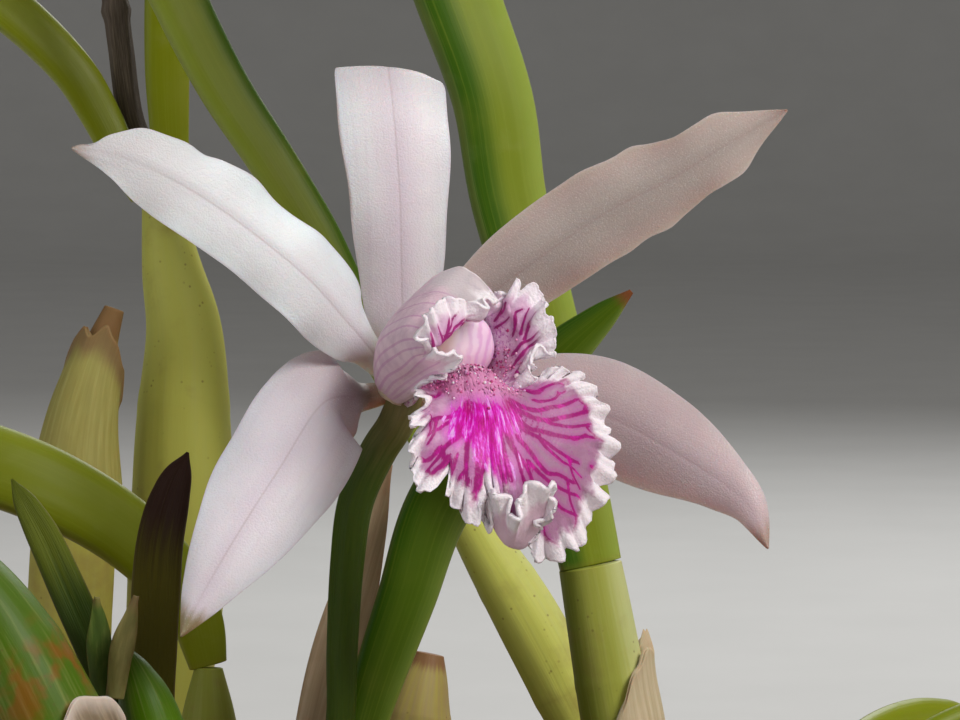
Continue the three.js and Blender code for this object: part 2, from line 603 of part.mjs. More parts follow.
// Sepals and petals: points are measured from the middle of the flower
const tepals = [
  {
    name: "petal_left", width: 4.8,
    points: [[-1.5, 0.7, 1.7], [-2.9, -2, 3.6], [-5, -4.2, 6.2], [-7.7, -5.6, 8.6], [-10.6, -6.9, 10.8],
      [-13.3, -8, 12.4], [-15.7, -8.5, 13.3], [-17.7, -8.7, 13.6]],
    profile: [[0, 0.36], [0.12, 0.78], [0.28, 1], [0.5, 0.97], [0.68, 1], [0.8, 0.86], [0.9, 0.5], [1, 0.14]],
    facing: [[0, [0.35, -0.9, 0.2]], [1, [-0.05, -1, 0.25]]],
    cup: [[0, -0.5], [0.5, -0.35], [1, 0.05]],
  },
  {
    name: "petal_right", width: 5.3,
    points: [[1.9, 0.7, 1.7], [4, -0.2, 4.2], [8.3, -0.9, 7.6], [12, -1.3, 10.1], [15.3, -1.6, 11.8],
      [18.2, -1.7, 13.6], [21.7, -1.3, 15.6]],
    profile: [[0, 0.3], [0.12, 0.66], [0.32, 0.98], [0.5, 1], [0.68, 0.86], [0.8, 0.72], [0.9, 0.46], [1, 0.12]],
    facing: [[0, [0.2, -0.95, 0.2]], [1, [0.25, -0.95, 0.1]]],
    cup: [[0, -0.5], [0.5, -0.3], [1, 0.05]],
  },
  {
    name: "sepal_dorsal", width: 6.3,
    points: [[0.3, 2, 1.9], [0.1, 1.3, 4.8], [0, 0.5, 10.6], [-0.4, 1.4, 15.7], [-0.7, 3.5, 17.9], [-0.6, 5.8, 17.5],
      [-0.4, 7.7, 15.5]],
    profile: [[0, 0.42], [0.12, 0.68], [0.33, 0.86], [0.58, 1], [0.76, 1], [0.9, 0.66], [1, 0.14]],
    facing: [[0, [0.12, -1, 0]], [0.55, [0.12, -1, 0]], [0.74, [-0.05, -0.3, 1]], [1, [0.1, 0.9, 0.6]]],
    cup: [[0, -0.5], [0.5, -0.4], [1, 0.05]],
  },
  {
    name: "sepal_left", width: 6.9,
    points: [[-1.7, 1.1, -0.7], [-2.6, -0.8, -0.6], [-4.2, -2.7, -0.8], [-6.6, -4.9, -4.3], [-9.1, -6.8, -8.2],
      [-10.9, -7.4, -11.3], [-11.9, -7.5, -13.1]],
    profile: [[0, 0.2], [0.08, 0.42], [0.2, 0.9], [0.46, 1], [0.7, 0.74], [0.88, 0.38], [1, 0.1]],
    facing: [[0, [0.25, -0.95, 0.1]], [0.3, [0, -1, 0.3]], [1, [-0.1, -1, 0.15]]],
    cup: [[0, -0.4], [0.5, -0.9], [1, -0.1]],
  },
  {
    name: "sepal_right", width: 6.4,
    points: [[2.2, 1.2, -0.9], [5.7, 0.3, -0.9], [11.5, -1.1, -1.6], [15.8, -3.1, -3.7], [18.1, -4.2, -5.1],
      [19.6, -4.8, -6.4], [20.6, -5, -8.5]],
    profile: [[0, 0.22], [0.1, 0.5], [0.28, 0.92], [0.43, 1], [0.6, 0.88], [0.8, 0.5], [0.92, 0.22], [1, 0.1]],
    facing: [[0, [0.2, -0.95, 0.2]], [0.5, [0.1, -1, 0.05]], [1, [0.15, -1, -0.2]]],
    cup: [[0, -0.4], [0.5, -0.8], [1, -0.1]],
  },
];
for (const tepal of tepals) {
  addPiece(tepal.name, blade(petalGrid({ ...tepal, place: fromFlower }), BLADE_THICKNESS), tepalWhite);
}

// Lip: side lobes rolled over the column and a broad hanging middle lobe.
// Each ray starts on a small ring at the turn given and runs out through four stations to the margin.
const LIP_RAYS = [
  [-150, [1.7, -2.2, 5.8], [3.2, -4.5, 6.8], [4.4, -6.2, 6.6], [5.6, -7.8, 5.6]],
  [-128, [-0.2, -4.5, 4], [1.3, -7.7, 4.9], [2.8, -9.7, 4.3], [3.1, -10.5, 5.5]],
  [-90, [-0.8, -5.3, 2], [0.2, -8.4, 2.8], [1.3, -10.3, 2.8], [1.4, -11.6, 3.8]],
  [-60, [0, -4.5, 0.4], [0.8, -6.9, 1], [1.9, -9.3, 1.6], [3.5, -11.3, 2.2]],
  [-38, [0.7, -4, -0.2], [1, -6.2, 0.1], [1.2, -7.6, 0.4], [1.3, -8.8, 0.6]],
  [-30, [1.1, -5, -0.4], [1.8, -7.4, 0.1], [1.5, -9.5, 0.1], [1, -10.2, 0]],
  [-20, [1.8, -5.7, -0.5], [2.8, -8.4, 0], [1.9, -11.2, -1.6], [0.8, -11.9, -3]],
  [-13, [2.1, -5.9, -0.5], [3.2, -8.8, 0], [2.3, -11.6, -2.6], [1.2, -12.3, -4.7]],
  [-5, [2.6, -6.1, -0.5], [3.9, -9.1, 0], [3.6, -12, -3.3], [3.2, -12.2, -5.7]],
  [3, [3.1, -6.2, -0.5], [4.6, -9.3, 0.1], [5.2, -11.8, -4.6], [5.4, -11.2, -8]],
  [11, [3.5, -6.2, -0.5], [5.1, -9.3, 0.1], [6.2, -11.5, -5], [6.6, -10.3, -9.3]],
  [22, [4.2, -5.9, -0.4], [6, -9, 0.1], [7.9, -10.5, -4.4], [8.7, -9.5, -9]],
  [29, [4.5, -5.8, -0.4], [6.4, -8.8, 0.1], [9, -9.5, -3.3], [11, -8.1, -6.2]],
  [35, [4.7, -5.5, -0.3], [6.7, -8.4, 0.2], [9.7, -8.6, -1.7], [11.9, -6.9, -2.7]],
  [39, [4.8, -5.3, -0.2], [6.8, -8.1, 0.2], [9, -8, -0.1], [10.7, -6.7, 0.1]],
  [43, [4.6, -5.1, -0.2], [6.6, -7.8, 0.3], [7.7, -7.8, 0.6], [9, -7.2, 1.4]],
  [48, [4.3, -4.9, -0.2], [6.1, -7.6, 0.3], [6.9, -7.8, 0.6], [7.5, -7.7, 1]],
  [62, [4.5, -4.3, 0.4], [6.3, -6.8, 1], [7.2, -7.3, 1.7], [8, -7.8, 2.4]],
  [90, [4.6, -3.8, 1.5], [6.4, -6.2, 2.3], [7.6, -6.7, 2.9], [8.7, -6.8, 3.6]],
  [108, [4.5, -3.5, 2.2], [6.3, -5.8, 3.1], [7.2, -6.2, 4.1], [8.3, -6.1, 5]],
  [128, [4.3, -3.4, 2.8], [6.1, -5.6, 3.8], [6.7, -5.9, 4.9], [7.5, -5.6, 6]],
  [146, [3.4, -3.1, 3.6], [5.2, -5.1, 4.7], [5.5, -5.4, 5.1], [5.8, -5.3, 5.4]],
];
function lipGrid(columns, rows) {
  const axis = vec(LIP_AXIS).normalize();
  const side = vec([0.85, 0.52, 0]).normalize();
  const up = axis.clone().cross(side).negate();
  if (up.z < 0) up.negate();
  const rays = LIP_RAYS.map(([turn, ...stations]) => {
    const angle = (turn * Math.PI) / 180;
    const start = fromFlower(LIP_BASE)
      .addScaledVector(side, LIP_BASE_RADIUS * Math.sin(angle))
      .addScaledVector(up, -LIP_BASE_RADIUS * Math.cos(angle));
    return new THREE.CatmullRomCurve3([start, ...stations.map(fromFlower)], false, "centripetal");
  });
  const grid = [];
  for (let i = 0; i <= rows; i++) {
    const r = i / rows;
    const ring = new THREE.CatmullRomCurve3(rays.map((ray) => ray.getPoint(r)), false, "centripetal");
    const row = [];
    for (let j = 0; j <= columns; j++) row.push(ring.getPoint(j / columns));
    grid.push(row);
  }
  return grid;
}
addPiece("lip", blade(lipGrid(50, 8), BLADE_THICKNESS), lipPink);

// Column: the thick stalk inside the lip's tube, with the anther cap at its end
const column = {
  points: [[0.6, -0.75, 0.35], [1.4, -2, 0.9], [2.4, -3.7, 1.6], [3.4, -5.3, 2.1]].map((p) => fromFlower(p).toArray()),
  halfWidth: 1.5, profile: [[0, 0.42], [0.4, 0.7], [0.85, 1], [1, 0.95]], section: roundSection(8), rings: 7,
};
addPiece("column", loft(column), columnPink);
const cap = {
  points: [[3.65, -5.75, 2.2], [3.9, -6.2, 2.2], [4.1, -6.55, 2.05]].map((p) => fromFlower(p).toArray()),
  halfWidth: 1.4, profile: [[0, 0.95], [0.5, 1], [1, 0.55]], section: roundSection(8), rings: 4,
};
addPiece("anther_cap", loft(cap), antherCream);

export default plant;
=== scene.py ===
import math

import bpy
import numpy as np
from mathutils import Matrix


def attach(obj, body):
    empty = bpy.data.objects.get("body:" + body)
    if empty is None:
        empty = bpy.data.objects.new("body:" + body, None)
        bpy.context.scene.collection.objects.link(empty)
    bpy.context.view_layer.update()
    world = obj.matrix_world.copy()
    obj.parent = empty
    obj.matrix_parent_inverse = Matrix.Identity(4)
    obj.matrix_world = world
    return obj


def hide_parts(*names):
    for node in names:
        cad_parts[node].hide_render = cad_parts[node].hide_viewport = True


# Potted Microlaelia lundii: a small orchid in flower on bark in a plain terracotta pot.
# Metres, +Z up, the flower facing -Y. Sizes are written in millimetres and brought to metres by MM.
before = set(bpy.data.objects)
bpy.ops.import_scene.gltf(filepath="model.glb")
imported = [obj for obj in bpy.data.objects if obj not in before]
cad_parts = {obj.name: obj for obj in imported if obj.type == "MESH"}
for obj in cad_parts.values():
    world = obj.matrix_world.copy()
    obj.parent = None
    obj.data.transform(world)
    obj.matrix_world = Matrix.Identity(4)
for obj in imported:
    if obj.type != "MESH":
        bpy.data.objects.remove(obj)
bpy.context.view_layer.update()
MM = 0.001

# Camera
# It stands close in front of the flower and looks down on it a little, through a long lens.
FLOWER = np.array([3.5, -12, 106])
LOOK_DOWN = math.radians(4)
AIM = FLOWER + np.array([4.571, 1.4286 * math.sin(LOOK_DOWN), 1.4286 * math.cos(LOOK_DOWN)])
CAMERA_DISTANCE = 210
camera_data = bpy.data.cameras.new("camera")
camera_data.lens = 137.8
camera_data.sensor_width = 36
camera_data.clip_start = 0.01
camera_data.clip_end = 100
camera = bpy.data.objects.new("camera", camera_data)
bpy.context.scene.collection.objects.link(camera)
camera.location = (AIM - CAMERA_DISTANCE * np.array([0, math.cos(LOOK_DOWN), -math.sin(LOOK_DOWN)])) * MM
camera.rotation_euler = (math.pi / 2 - LOOK_DOWN, 0, 0)
bpy.context.scene.camera = camera
bpy.context.scene.view_settings.view_transform = "Standard"


# Studio
# A wide shallow bowl of pale paper gives the floor and the background. One large soft lamp stands high
# on the right, a weaker one on the left, and a third behind lifts the edges.
def skin(name, grid, **fields):
    """A closed mesh over rings of points (copies, rows, ring, 3), its end rings closed by fans.

    Each field holds a number for every point and becomes an attribute that the finish reads. The signed
    volumes of the tetrahedra from the origin to the faces are added up, and a negative sum turns the faces.
    """
    grid = grid.reshape((-1,) + grid.shape[-3:])
    copies, rows, ring = grid.shape[:3]
    poles = np.stack([grid[:, 0].mean(axis=1), grid[:, -1].mean(axis=1)], axis=1)
    corners = np.concatenate([grid.reshape(-1, 3), poles.reshape(-1, 3)])
    copy, row, step = np.meshgrid(np.arange(copies), np.arange(rows - 1), np.arange(ring), indexing="ij")
    here = (copy * rows + row) * ring + step
    beside = here - step + (step + 1) % ring
    quads = np.stack([here, beside, beside + ring, here + ring], axis=-1).reshape(-1, 4)
    copy, end, step = np.meshgrid(np.arange(copies), [0, 1], np.arange(ring), indexing="ij")
    here = (copy * rows + end * (rows - 1)) * ring + step
    beside = here - step + (step + 1) % ring
    pole = copies * rows * ring + copy * 2 + end
    start, last = np.stack([beside, here, pole], axis=-1), np.stack([here, beside, pole], axis=-1)
    fans = np.where(end[..., None] == 0, start, last).reshape(-1, 3)
    triangles = np.concatenate([quads[:, [0, 1, 2]], quads[:, [0, 2, 3]], fans])
    a, b, c = (corners[triangles[:, k]] for k in range(3))
    if np.sum(a * np.cross(b, c)) < 0:
        quads, fans = quads[:, ::-1], fans[:, ::-1]
    loops = np.concatenate([quads.ravel(), fans.ravel()])
    starts = np.concatenate([np.arange(len(quads)) * 4, len(quads) * 4 + np.arange(len(fans)) * 3])
    mesh = bpy.data.meshes.new(name)
    mesh.vertices.add(len(corners))
    mesh.vertices.foreach_set("co", (corners * MM).ravel())
    mesh.loops.add(len(loops))
    mesh.loops.foreach_set("vertex_index", loops)
    mesh.polygons.add(len(starts))
    mesh.polygons.foreach_set("loop_start", starts)
    mesh.polygons.foreach_set("use_smooth", np.ones(len(starts), dtype=bool))
    for field, numbers in fields.items():
        numbers = np.broadcast_to(numbers, grid.shape[:3])
        ends = np.stack([numbers[:, 0].mean(axis=1), numbers[:, -1].mean(axis=1)], axis=1)
        layer = mesh.attributes.new(field, "FLOAT", "POINT")
        layer.data.foreach_set("value", np.concatenate([numbers.ravel(), ends.ravel()]))
    mesh.update(calc_edges=True)
    piece = bpy.data.objects.new(name, mesh)
    bpy.context.scene.collection.objects.link(piece)
    return piece


def circle(steps):
    """Angles once round, in even steps."""
    return np.linspace(0, 2 * np.pi, steps, endpoint=False)


def turned(outline, around):
    """Rings of points: each (radius, height) of the outline is turned about the Z axis."""
    angle = circle(around)
    radius, height = np.asarray(outline, dtype=float).T
    x, y = np.outer(radius, np.cos(angle)), np.outer(radius, np.sin(angle))
    return np.stack([x, y, np.broadcast_to(height[:, None], x.shape)], axis=-1)


def tone(red, green, blue):
    """A display colour, 0 to 255, as the linear colour that a shader takes."""
    shares = np.array([red, green, blue]) / 255
    linear = np.where(shares > 0.04045, ((shares + 0.055) / 1.055) ** 2.4, shares / 12.92)
    return (*linear.tolist(), 1)


class Number:
    """A number that a finish works out at each point. Python's operators on it add Math nodes."""

    def __init__(self, finish, socket):
        self.finish = finish
        self.socket = socket

    def math(self, operation, *terms):
        return self.finish.node("ShaderNodeMath", {"operation": operation}, dict(enumerate(terms)))

    def __add__(self, other):
        return self.math("ADD", self, other)

    def __sub__(self, other):
        return self.math("SUBTRACT", self, other)

    def __rsub__(self, other):
        return self.math("SUBTRACT", other, self)

    def __mul__(self, other):
        return self.math("MULTIPLY", self, other)

    def __truediv__(self, other):
        return self.math("DIVIDE", self, other)

    def __gt__(self, other):
        return self.math("GREATER_THAN", self, other)

    __radd__ = __add__
    __rmul__ = __mul__

    def size(self):
        return self.math("ABSOLUTE", self)

    def sine(self):
        return self.math("SINE", self)

    def least(self, other):
        return self.math("MINIMUM", self, other)

    def most(self, other):
        return self.math("MAXIMUM", self, other)

    def rise(self, low, high):
        """0 below low and 1 above high, with a smooth step between. High may lie below low."""
        settings = {"interpolation_type": "SMOOTHSTEP"}
        return self.finish.node("ShaderNodeMapRange", settings, {0: self, 1: low, 2: high})


class Finish:
    """A material whose nodes are written as expressions on numbers and colours."""

    def __init__(self, name, **constants):
        self.material = bpy.data.materials.new(name)
        self.material.use_nodes = True
        self.tree = self.material.node_tree
        self.shader = self.tree.nodes["Principled BSDF"]
        for socket, value in constants.items():
            self.shader.inputs[socket.replace("_", " ").title().replace("Ior", "IOR")].default_value = value

    def node(self, kind, settings, values, output=0):
        """One node of a kind: its settings first, a ramp's stops among them, then its sockets."""
        node = self.tree.nodes.new(kind)
        for setting, value in settings.items():
            if setting == "stops":
                elements = node.color_ramp.elements
                for index, (place, colour) in enumerate(value):
                    stop = elements[index] if index < 2 else elements.new(place)
                    stop.position = place
                    stop.color = tone(*colour)
            else:
                setattr(node, setting, value)
        for socket, value in values.items():
            self.feed(node.inputs[socket], value)
        return Number(self, node.outputs[output])

    def feed(self, socket, value):
        if isinstance(value, Number):
            self.tree.links.new(value.socket, socket)
        else:
            socket.default_value = value

    def give(self, socket, value):
        self.feed(self.shader.inputs[socket], value)

    def field(self, name):
        return self.node("ShaderNodeAttribute", {"attribute_name": name}, {}, output=2)

    def place(self, stretch=(1, 1, 1)):
        """Object coordinates in millimetres, stretched."""
        where = self.node("ShaderNodeTexCoord", {}, {}, output=3)
        return self.node("ShaderNodeMapping", {}, {"Vector": where, "Scale": tuple(s / MM for s in stretch)})

    def vector(self, x, y, z):
        return self.node("ShaderNodeCombineXYZ", {}, {0: x, 1: y, 2: z})

    def noise(self, where, scale, detail=3, roughness=0.55, distortion=0):
        values = {"Vector": where, "Scale": scale, "Detail": detail, "Roughness": roughness,
                  "Distortion": distortion}
        return self.node("ShaderNodeTexNoise", {}, values)

    def fibres(self, across, ahead, scale, detail=5, roughness=0.55):
        """Noise drawn out along a stem: across scales the way round the stem and ahead the way along it."""
        side, face = self.field("side") * across, self.field("face") * across
        return self.noise(self.vector(side, face, self.field("distance") * ahead), scale, detail, roughness)

    def cells(self, where, scale):
        return self.node("ShaderNodeTexVoronoi", {}, {"Vector": where, "Scale": scale})

    def mix(self, factor, first, second):
        """Two colours mixed. Each is one that a node gives, or a display colour of three numbers."""
        first, second = (c if isinstance(c, Number) else tone(*c) for c in (first, second))
        return self.node("ShaderNodeMix", {"data_type": "RGBA"}, {0: factor, 6: first, 7: second}, output=2)

    def layers(self, colour, *coats):
        """A colour with coats laid over it in turn, each given by its factor and its own colour."""
        for factor, coat in coats:
            colour = self.mix(factor, colour, coat)
        return colour

    def ramp(self, factor, *stops):
        """A colour that changes with a number, through stops of a place and a display colour."""
        return self.node("ShaderNodeValToRGB", {"stops": stops}, {0: factor})

    def relief(self, height, depth, strength):
        """A bump of a height field; the depth is in millimetres."""
        values = {"Height": height, "Distance": depth * MM, "Strength": strength}
        self.give("Normal", self.node("ShaderNodeBump", {}, values))


def dress(piece, finish, *nodes, slot):
    """Give a piece its finish, let it ride on the plant's one body and stand for its solids."""
    piece.data.materials.append(finish.material)
    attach(piece, "root")
    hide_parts(*nodes)


FLOOR_RADIUS = 2600
COVE_RADIUS = 900
BOWL_RADIUS = FLOOR_RADIUS + COVE_RADIUS
BOWL_HEIGHT = 2400
PAPER_THICKNESS = 60
bend = np.linspace(0, math.pi / 2, 24)
bowl_outline = np.concatenate([
    [[1, 0], [400, 0], [1200, 0], [FLOOR_RADIUS, 0]],
    np.stack([FLOOR_RADIUS + COVE_RADIUS * np.sin(bend), COVE_RADIUS * (1 - np.cos(bend))], axis=-1)[1:],
    [[BOWL_RADIUS, BOWL_HEIGHT], [BOWL_RADIUS + PAPER_THICKNESS, BOWL_HEIGHT],
     [BOWL_RADIUS + PAPER_THICKNESS, -PAPER_THICKNESS], [1, -PAPER_THICKNESS]],
])
bowl = skin("studio_paper", turned(bowl_outline, 96))
paper = Finish("studio_paper", roughness=0.9)
fibre = paper.noise(paper.place(), 0.02, detail=4)
paper.give("Base Color", paper.mix(fibre, (196, 196, 194), (206, 206, 204)))
bowl.data.materials.append(paper.material)

LAMPS = [
    {"name": "key_lamp", "stands": (620, -560, 780), "side": 420, "watts": 10.5, "colour": (1, 0.97, 0.93)},
    {"name": "fill_lamp", "stands": (-760, -620, 420), "side": 700, "watts": 2.6, "colour": (0.95, 0.97, 1)},
    {"name": "back_lamp", "stands": (240, 820, 640), "side": 500, "watts": 4, "colour": (1, 1, 1)},
]
for lamp in LAMPS:
    light = bpy.data.lights.new(lamp["name"], "AREA")
    light.size = lamp["side"] * MM
    light.energy = lamp["watts"]
    light.color = lamp["colour"]
    stand = bpy.data.objects.new(lamp["name"], light)
    bpy.context.scene.collection.objects.link(stand)
    reach = np.array([0, 0, 90]) - np.array(lamp["stands"])
    stand.location = np.array(lamp["stands"]) * MM
    tilt = math.atan2(math.hypot(reach[0], reach[1]), -reach[2])
    stand.rotation_euler = (tilt, 0, math.atan2(reach[1], reach[0]) - math.pi / 2)
world = bpy.data.worlds.new("studio_air")
world.use_nodes = True
world.node_tree.nodes["Background"].inputs["Color"].default_value = (1, 0.98, 0.96, 1)
world.node_tree.nodes["Background"].inputs["Strength"].default_value = 0.22
bpy.context.scene.world = world

# Pot
# A plain clay flower pot, turned on a wheel, with a thick collar at its rim. The clay is unglazed, dusty
# outside and darker where the wet bark stands, and three drain holes are cut through its floor.
POT_HEIGHT = 76
POT_TOP_RADIUS = 46
POT_BASE_RADIUS = 31
POT_WALL = 4
POT_FLOOR = 5
RIM_DEPTH = 14
RIM_STEP = 2.2
DRAIN_RADIUS = 4
DRAIN_CIRCLE = 17
WALL_SLOPE = (POT_TOP_RADIUS - RIM_STEP - POT_BASE_RADIUS) / (POT_HEIGHT - RIM_DEPTH)


def inner_radius(height):
    return POT_BASE_RADIUS - POT_WALL + WALL_SLOPE * height


def reach_along(path):
    """How far along a path each of its points lies."""
    return np.concatenate([[0], np.cumsum(np.linalg.norm(np.diff(path, axis=0), axis=1))])


def read_off(places, knots, rows):
    """The rows of a table, one to a knot, read off at the places by straight lines between the knots."""
    rows = np.asarray(rows, dtype=float)
    return np.stack([np.interp(places, knots, rows[:, k]) for k in range(rows.shape[1])], axis=-1)


def softened(outline, step, passes):
    """An outline cut into even steps; each pass then moves every point halfway to its neighbours' mean."""
    reach = reach_along(outline)
    points = read_off(np.linspace(0, reach[-1], int(reach[-1] / step)), reach, outline)
    for _ in range(passes):
        points[1:-1] = points[1:-1] / 2 + (points[:-2] + points[2:]) / 4
    return points


pot_outline = softened([
    [0.4, 0], [POT_BASE_RADIUS, 0], [POT_TOP_RADIUS - RIM_STEP, POT_HEIGHT - RIM_DEPTH],
    [POT_TOP_RADIUS, POT_HEIGHT - RIM_DEPTH], [POT_TOP_RADIUS, POT_HEIGHT],
    [POT_TOP_RADIUS - POT_WALL, POT_HEIGHT], [inner_radius(POT_FLOOR), POT_FLOOR], [0.4, POT_FLOOR],
], step=0.7, passes=4)
POT_FACETS = 128
pot_rings = turned(pot_outline, POT_FACETS)
radius = np.hypot(pot_rings[..., 0], pot_rings[..., 1])
height = pot_rings[..., 2]
wheel_marks = 0.05 * np.sin(height * 2.9) + 0.04 * np.sin(height * 1.3 + 2)
wheel_marks = wheel_marks + 0.1 * np.sin(2 * circle(POT_FACETS) + height / 40)
standing = np.clip(height / 3, 0, 1) * np.clip((POT_HEIGHT - height) / 3, 0, 1)
wheel_marks = np.where(radius > POT_BASE_RADIUS - 5, wheel_marks * standing - 0.1, 0)
pot_rings[..., :2] *= (1 + wheel_marks / np.maximum(radius, 1))[..., None]
pot = skin("terracotta_pot", pot_rings)
drains = np.stack([turned([[0.1, -4], [DRAIN_RADIUS, -4], [DRAIN_RADIUS, 9], [0.1, 9]], 32)] * 3)
drain_angle = np.pi * (2 * np.arange(3) + 1) / 3
drain_places = DRAIN_CIRCLE * np.stack([np.cos(drain_angle), np.sin(drain_angle), 0 * drain_angle], axis=-1)
drill = skin("drill", drains + drain_places[:, None, None])
cut = pot.modifiers.new("drains", "BOOLEAN")
cut.operation = "DIFFERENCE"
cut.object = drill
drilled = bpy.data.meshes.new_from_object(pot.evaluated_get(bpy.context.evaluated_depsgraph_get()))
pot.modifiers.clear()
pot.data = drilled
bpy.data.objects.remove(drill)

clay = Finish("terracotta", roughness=0.85)
here = clay.place()
grain = clay.noise(here, 1.6, detail=6, roughness=0.65)
cloud = clay.noise(here, 0.045, detail=4, roughness=0.6)
height = clay.node("ShaderNodeSeparateXYZ", {}, {0: here}, output=2)
turning = clay.noise(clay.place(stretch=(0.03, 0.03, 1.4)), 1, detail=3)
salt = (clay.noise(here, 0.11, detail=7, roughness=0.72) + (height - 52) * 0.004).rise(0.56, 0.74)
damp = (cloud + (24 - height) * 0.012).rise(0.55, 0.85)
grit = clay.cells(here, 1.1).rise(0.16, 0.05) * clay.noise(here, 0.5).rise(0.5, 0.6)
clay.give("Base Color", clay.layers(
    clay.mix(grain, (168, 90, 58), (192, 112, 76)),
    (turning.rise(0.4, 0.7) * 0.35, (205, 132, 96)),
    (damp * 0.55, (118, 62, 42)),
    (salt * 0.6, (216, 190, 166)),
    (grit * 0.6, (96, 52, 38)),
))
clay.give("Roughness", 0.78 + salt * 0.15 - damp * 0.12)
clay.relief(grain * 0.5 + turning * 0.8 - grit * 0.5 + salt * 0.3, 0.25, 0.6)
dress(pot, clay, "pot", slot="terracotta")

# Bark bed
# The pot is filled with chopped pine bark. Coarse ragged chips lie over the fine filling, redder where
# they are freshly broken and almost black where they are wet.
BARK_LEVEL = 68
BARK_TOP_RADIUS = 40
BARK_GAP = 0.4
bed_outline = softened([
    [0.4, POT_FLOOR + BARK_GAP], [inner_radius(POT_FLOOR) - BARK_GAP - 0.2, POT_FLOOR + BARK_GAP],
    [inner_radius(BARK_LEVEL - 3) - BARK_GAP, BARK_LEVEL - 3], [BARK_TOP_RADIUS - 3, BARK_LEVEL - 1.4],
    [BARK_TOP_RADIUS * 0.5, BARK_LEVEL - 1], [0.4, BARK_LEVEL - 1],
], step=1.1, passes=2)
bed_rings = turned(bed_outline, 96)
x, y, z = np.moveaxis(bed_rings, -1, 0)
lumps = np.sin(x * 0.9 + 1.7 * np.sin(y * 0.53)) * np.cos(y * 0.8 + 1.3 * np.sin(x * 0.61))
bed_rings[..., 2] += np.where(z > BARK_LEVEL - 4, 0.6 * lumps, 0)
filling = skin("bark_filling", bed_rings, chip_tone=0.2)

CHIPS = 330
CHIP_ROWS = 6
CHIP_SIDES = 10
GOLDEN_ANGLE = 2.39996
chance = np.random.default_rng(7)
order = np.arange(CHIPS)
away = (BARK_TOP_RADIUS - 4) * np.sqrt((order + 0.5) / CHIPS) + chance.normal(0, 0.8, CHIPS)
turn = order * GOLDEN_ANGLE + chance.normal(0, 0.15, CHIPS)
long, wide, thick = chance.uniform([[3.2], [1.8], [0.7]], [[6.4], [3.6], [1.7]], (3, CHIPS))
shrink = np.where(away < BARK_TOP_RADIUS - 9, 1, 0.62)
long, wide = long * shrink, wide * shrink
run, around = np.linspace(-1, 1, CHIP_ROWS)[:, None], circle(CHIP_SIDES)[None, :]
taper = (1 - np.abs(run) ** 5) ** 0.5 * 0.85 + 0.12
corner = 0.55
across = np.sign(np.cos(around)) * np.abs(np.cos(around)) ** corner
upright = np.sign(np.sin(around)) * np.abs(np.sin(around)) ** corner
rag = chance.normal(0, 0.11, (3, CHIPS, CHIP_ROWS, CHIP_SIDES))
ragged_end = 1 + 0.22 * chance.normal(0, 1, (CHIPS, 1, CHIP_SIDES)) * np.abs(run) ** 3
ragged_side = 1 + 0.15 * chance.normal(0, 1, (CHIPS, CHIP_ROWS, 1))
arch = chance.uniform(-0.25, 0.5, CHIPS)[:, None, None] * run ** 2
chip_x = long[:, None, None] * run * ragged_end + rag[0]
chip_y = wide[:, None, None] * across * taper * ragged_side + rag[1]
chip_z = thick[:, None, None] * (upright * taper + arch) + rag[2] * 0.7
chips = np.stack([chip_x, chip_y, chip_z], axis=-1)


def spun(points, axis, angle):
    """Points of each copy turned about one of the axes by that copy's angle."""
    first, second = [k for k in range(3) if k != axis]
    cosine, sine = np.cos(angle)[:, None, None], np.sin(angle)[:, None, None]
    out = points.copy()
    out[..., first] = points[..., first] * cosine - points[..., second] * sine
    out[..., second] = points[..., first] * sine + points[..., second] * cosine
    return out


chips = spun(chips, 0, chance.normal(0, 0.3, CHIPS))
chips = spun(chips, 1, chance.normal(0, 0.2, CHIPS))
chips = spun(chips, 2, chance.uniform(0, 2 * np.pi, CHIPS))
level = BARK_LEVEL - 0.6 + chance.uniform(-0.7, 0.9, CHIPS)
chips += np.stack([away * np.cos(turn), away * np.sin(turn), level], axis=-1)[:, None, None]
chips[..., 2] = np.minimum(chips[..., 2], BARK_LEVEL + 2.6)
reach = np.hypot(chips[..., 0], chips[..., 1])
chips[..., :2] *= (np.minimum(reach, inner_radius(BARK_LEVEL) - 0.8) / reach)[..., None]
loose_chips = skin("bark_chips", chips, chip_tone=chance.uniform(0, 1, CHIPS)[:, None, None])

pine = Finish("pine_bark", roughness=0.9)
here = pine.place()
plates = pine.noise(pine.place(stretch=(0.35, 0.5, 2.2)), 1.1, detail=6, roughness=0.7, distortion=0.6)
patch = pine.noise(here, 0.35, detail=4)
wood = pine.ramp(plates * 0.55 + pine.field("chip_tone") * 0.45, (0.2, (38, 24, 18)), (0.42, (82, 50, 34)),
                 (0.6, (124, 78, 50)), (0.85, (168, 124, 88)))
pine.give("Base Color", pine.layers(
    wood,
    (patch.rise(0.52, 0.7) * 0.5, (46, 34, 26)),
    (pine.noise(here, 0.9).rise(0.62, 0.75) * 0.25, (108, 112, 70)),
))
pine.give("Roughness", 0.95 - patch * 0.25)
pine.relief(plates + pine.noise(here, 3, detail=5) * 0.5, 0.5, 0.8)
dress(filling, pine, "bark_bed", slot="bark")
dress(loose_chips, pine, "bark_bed", slot="bark")


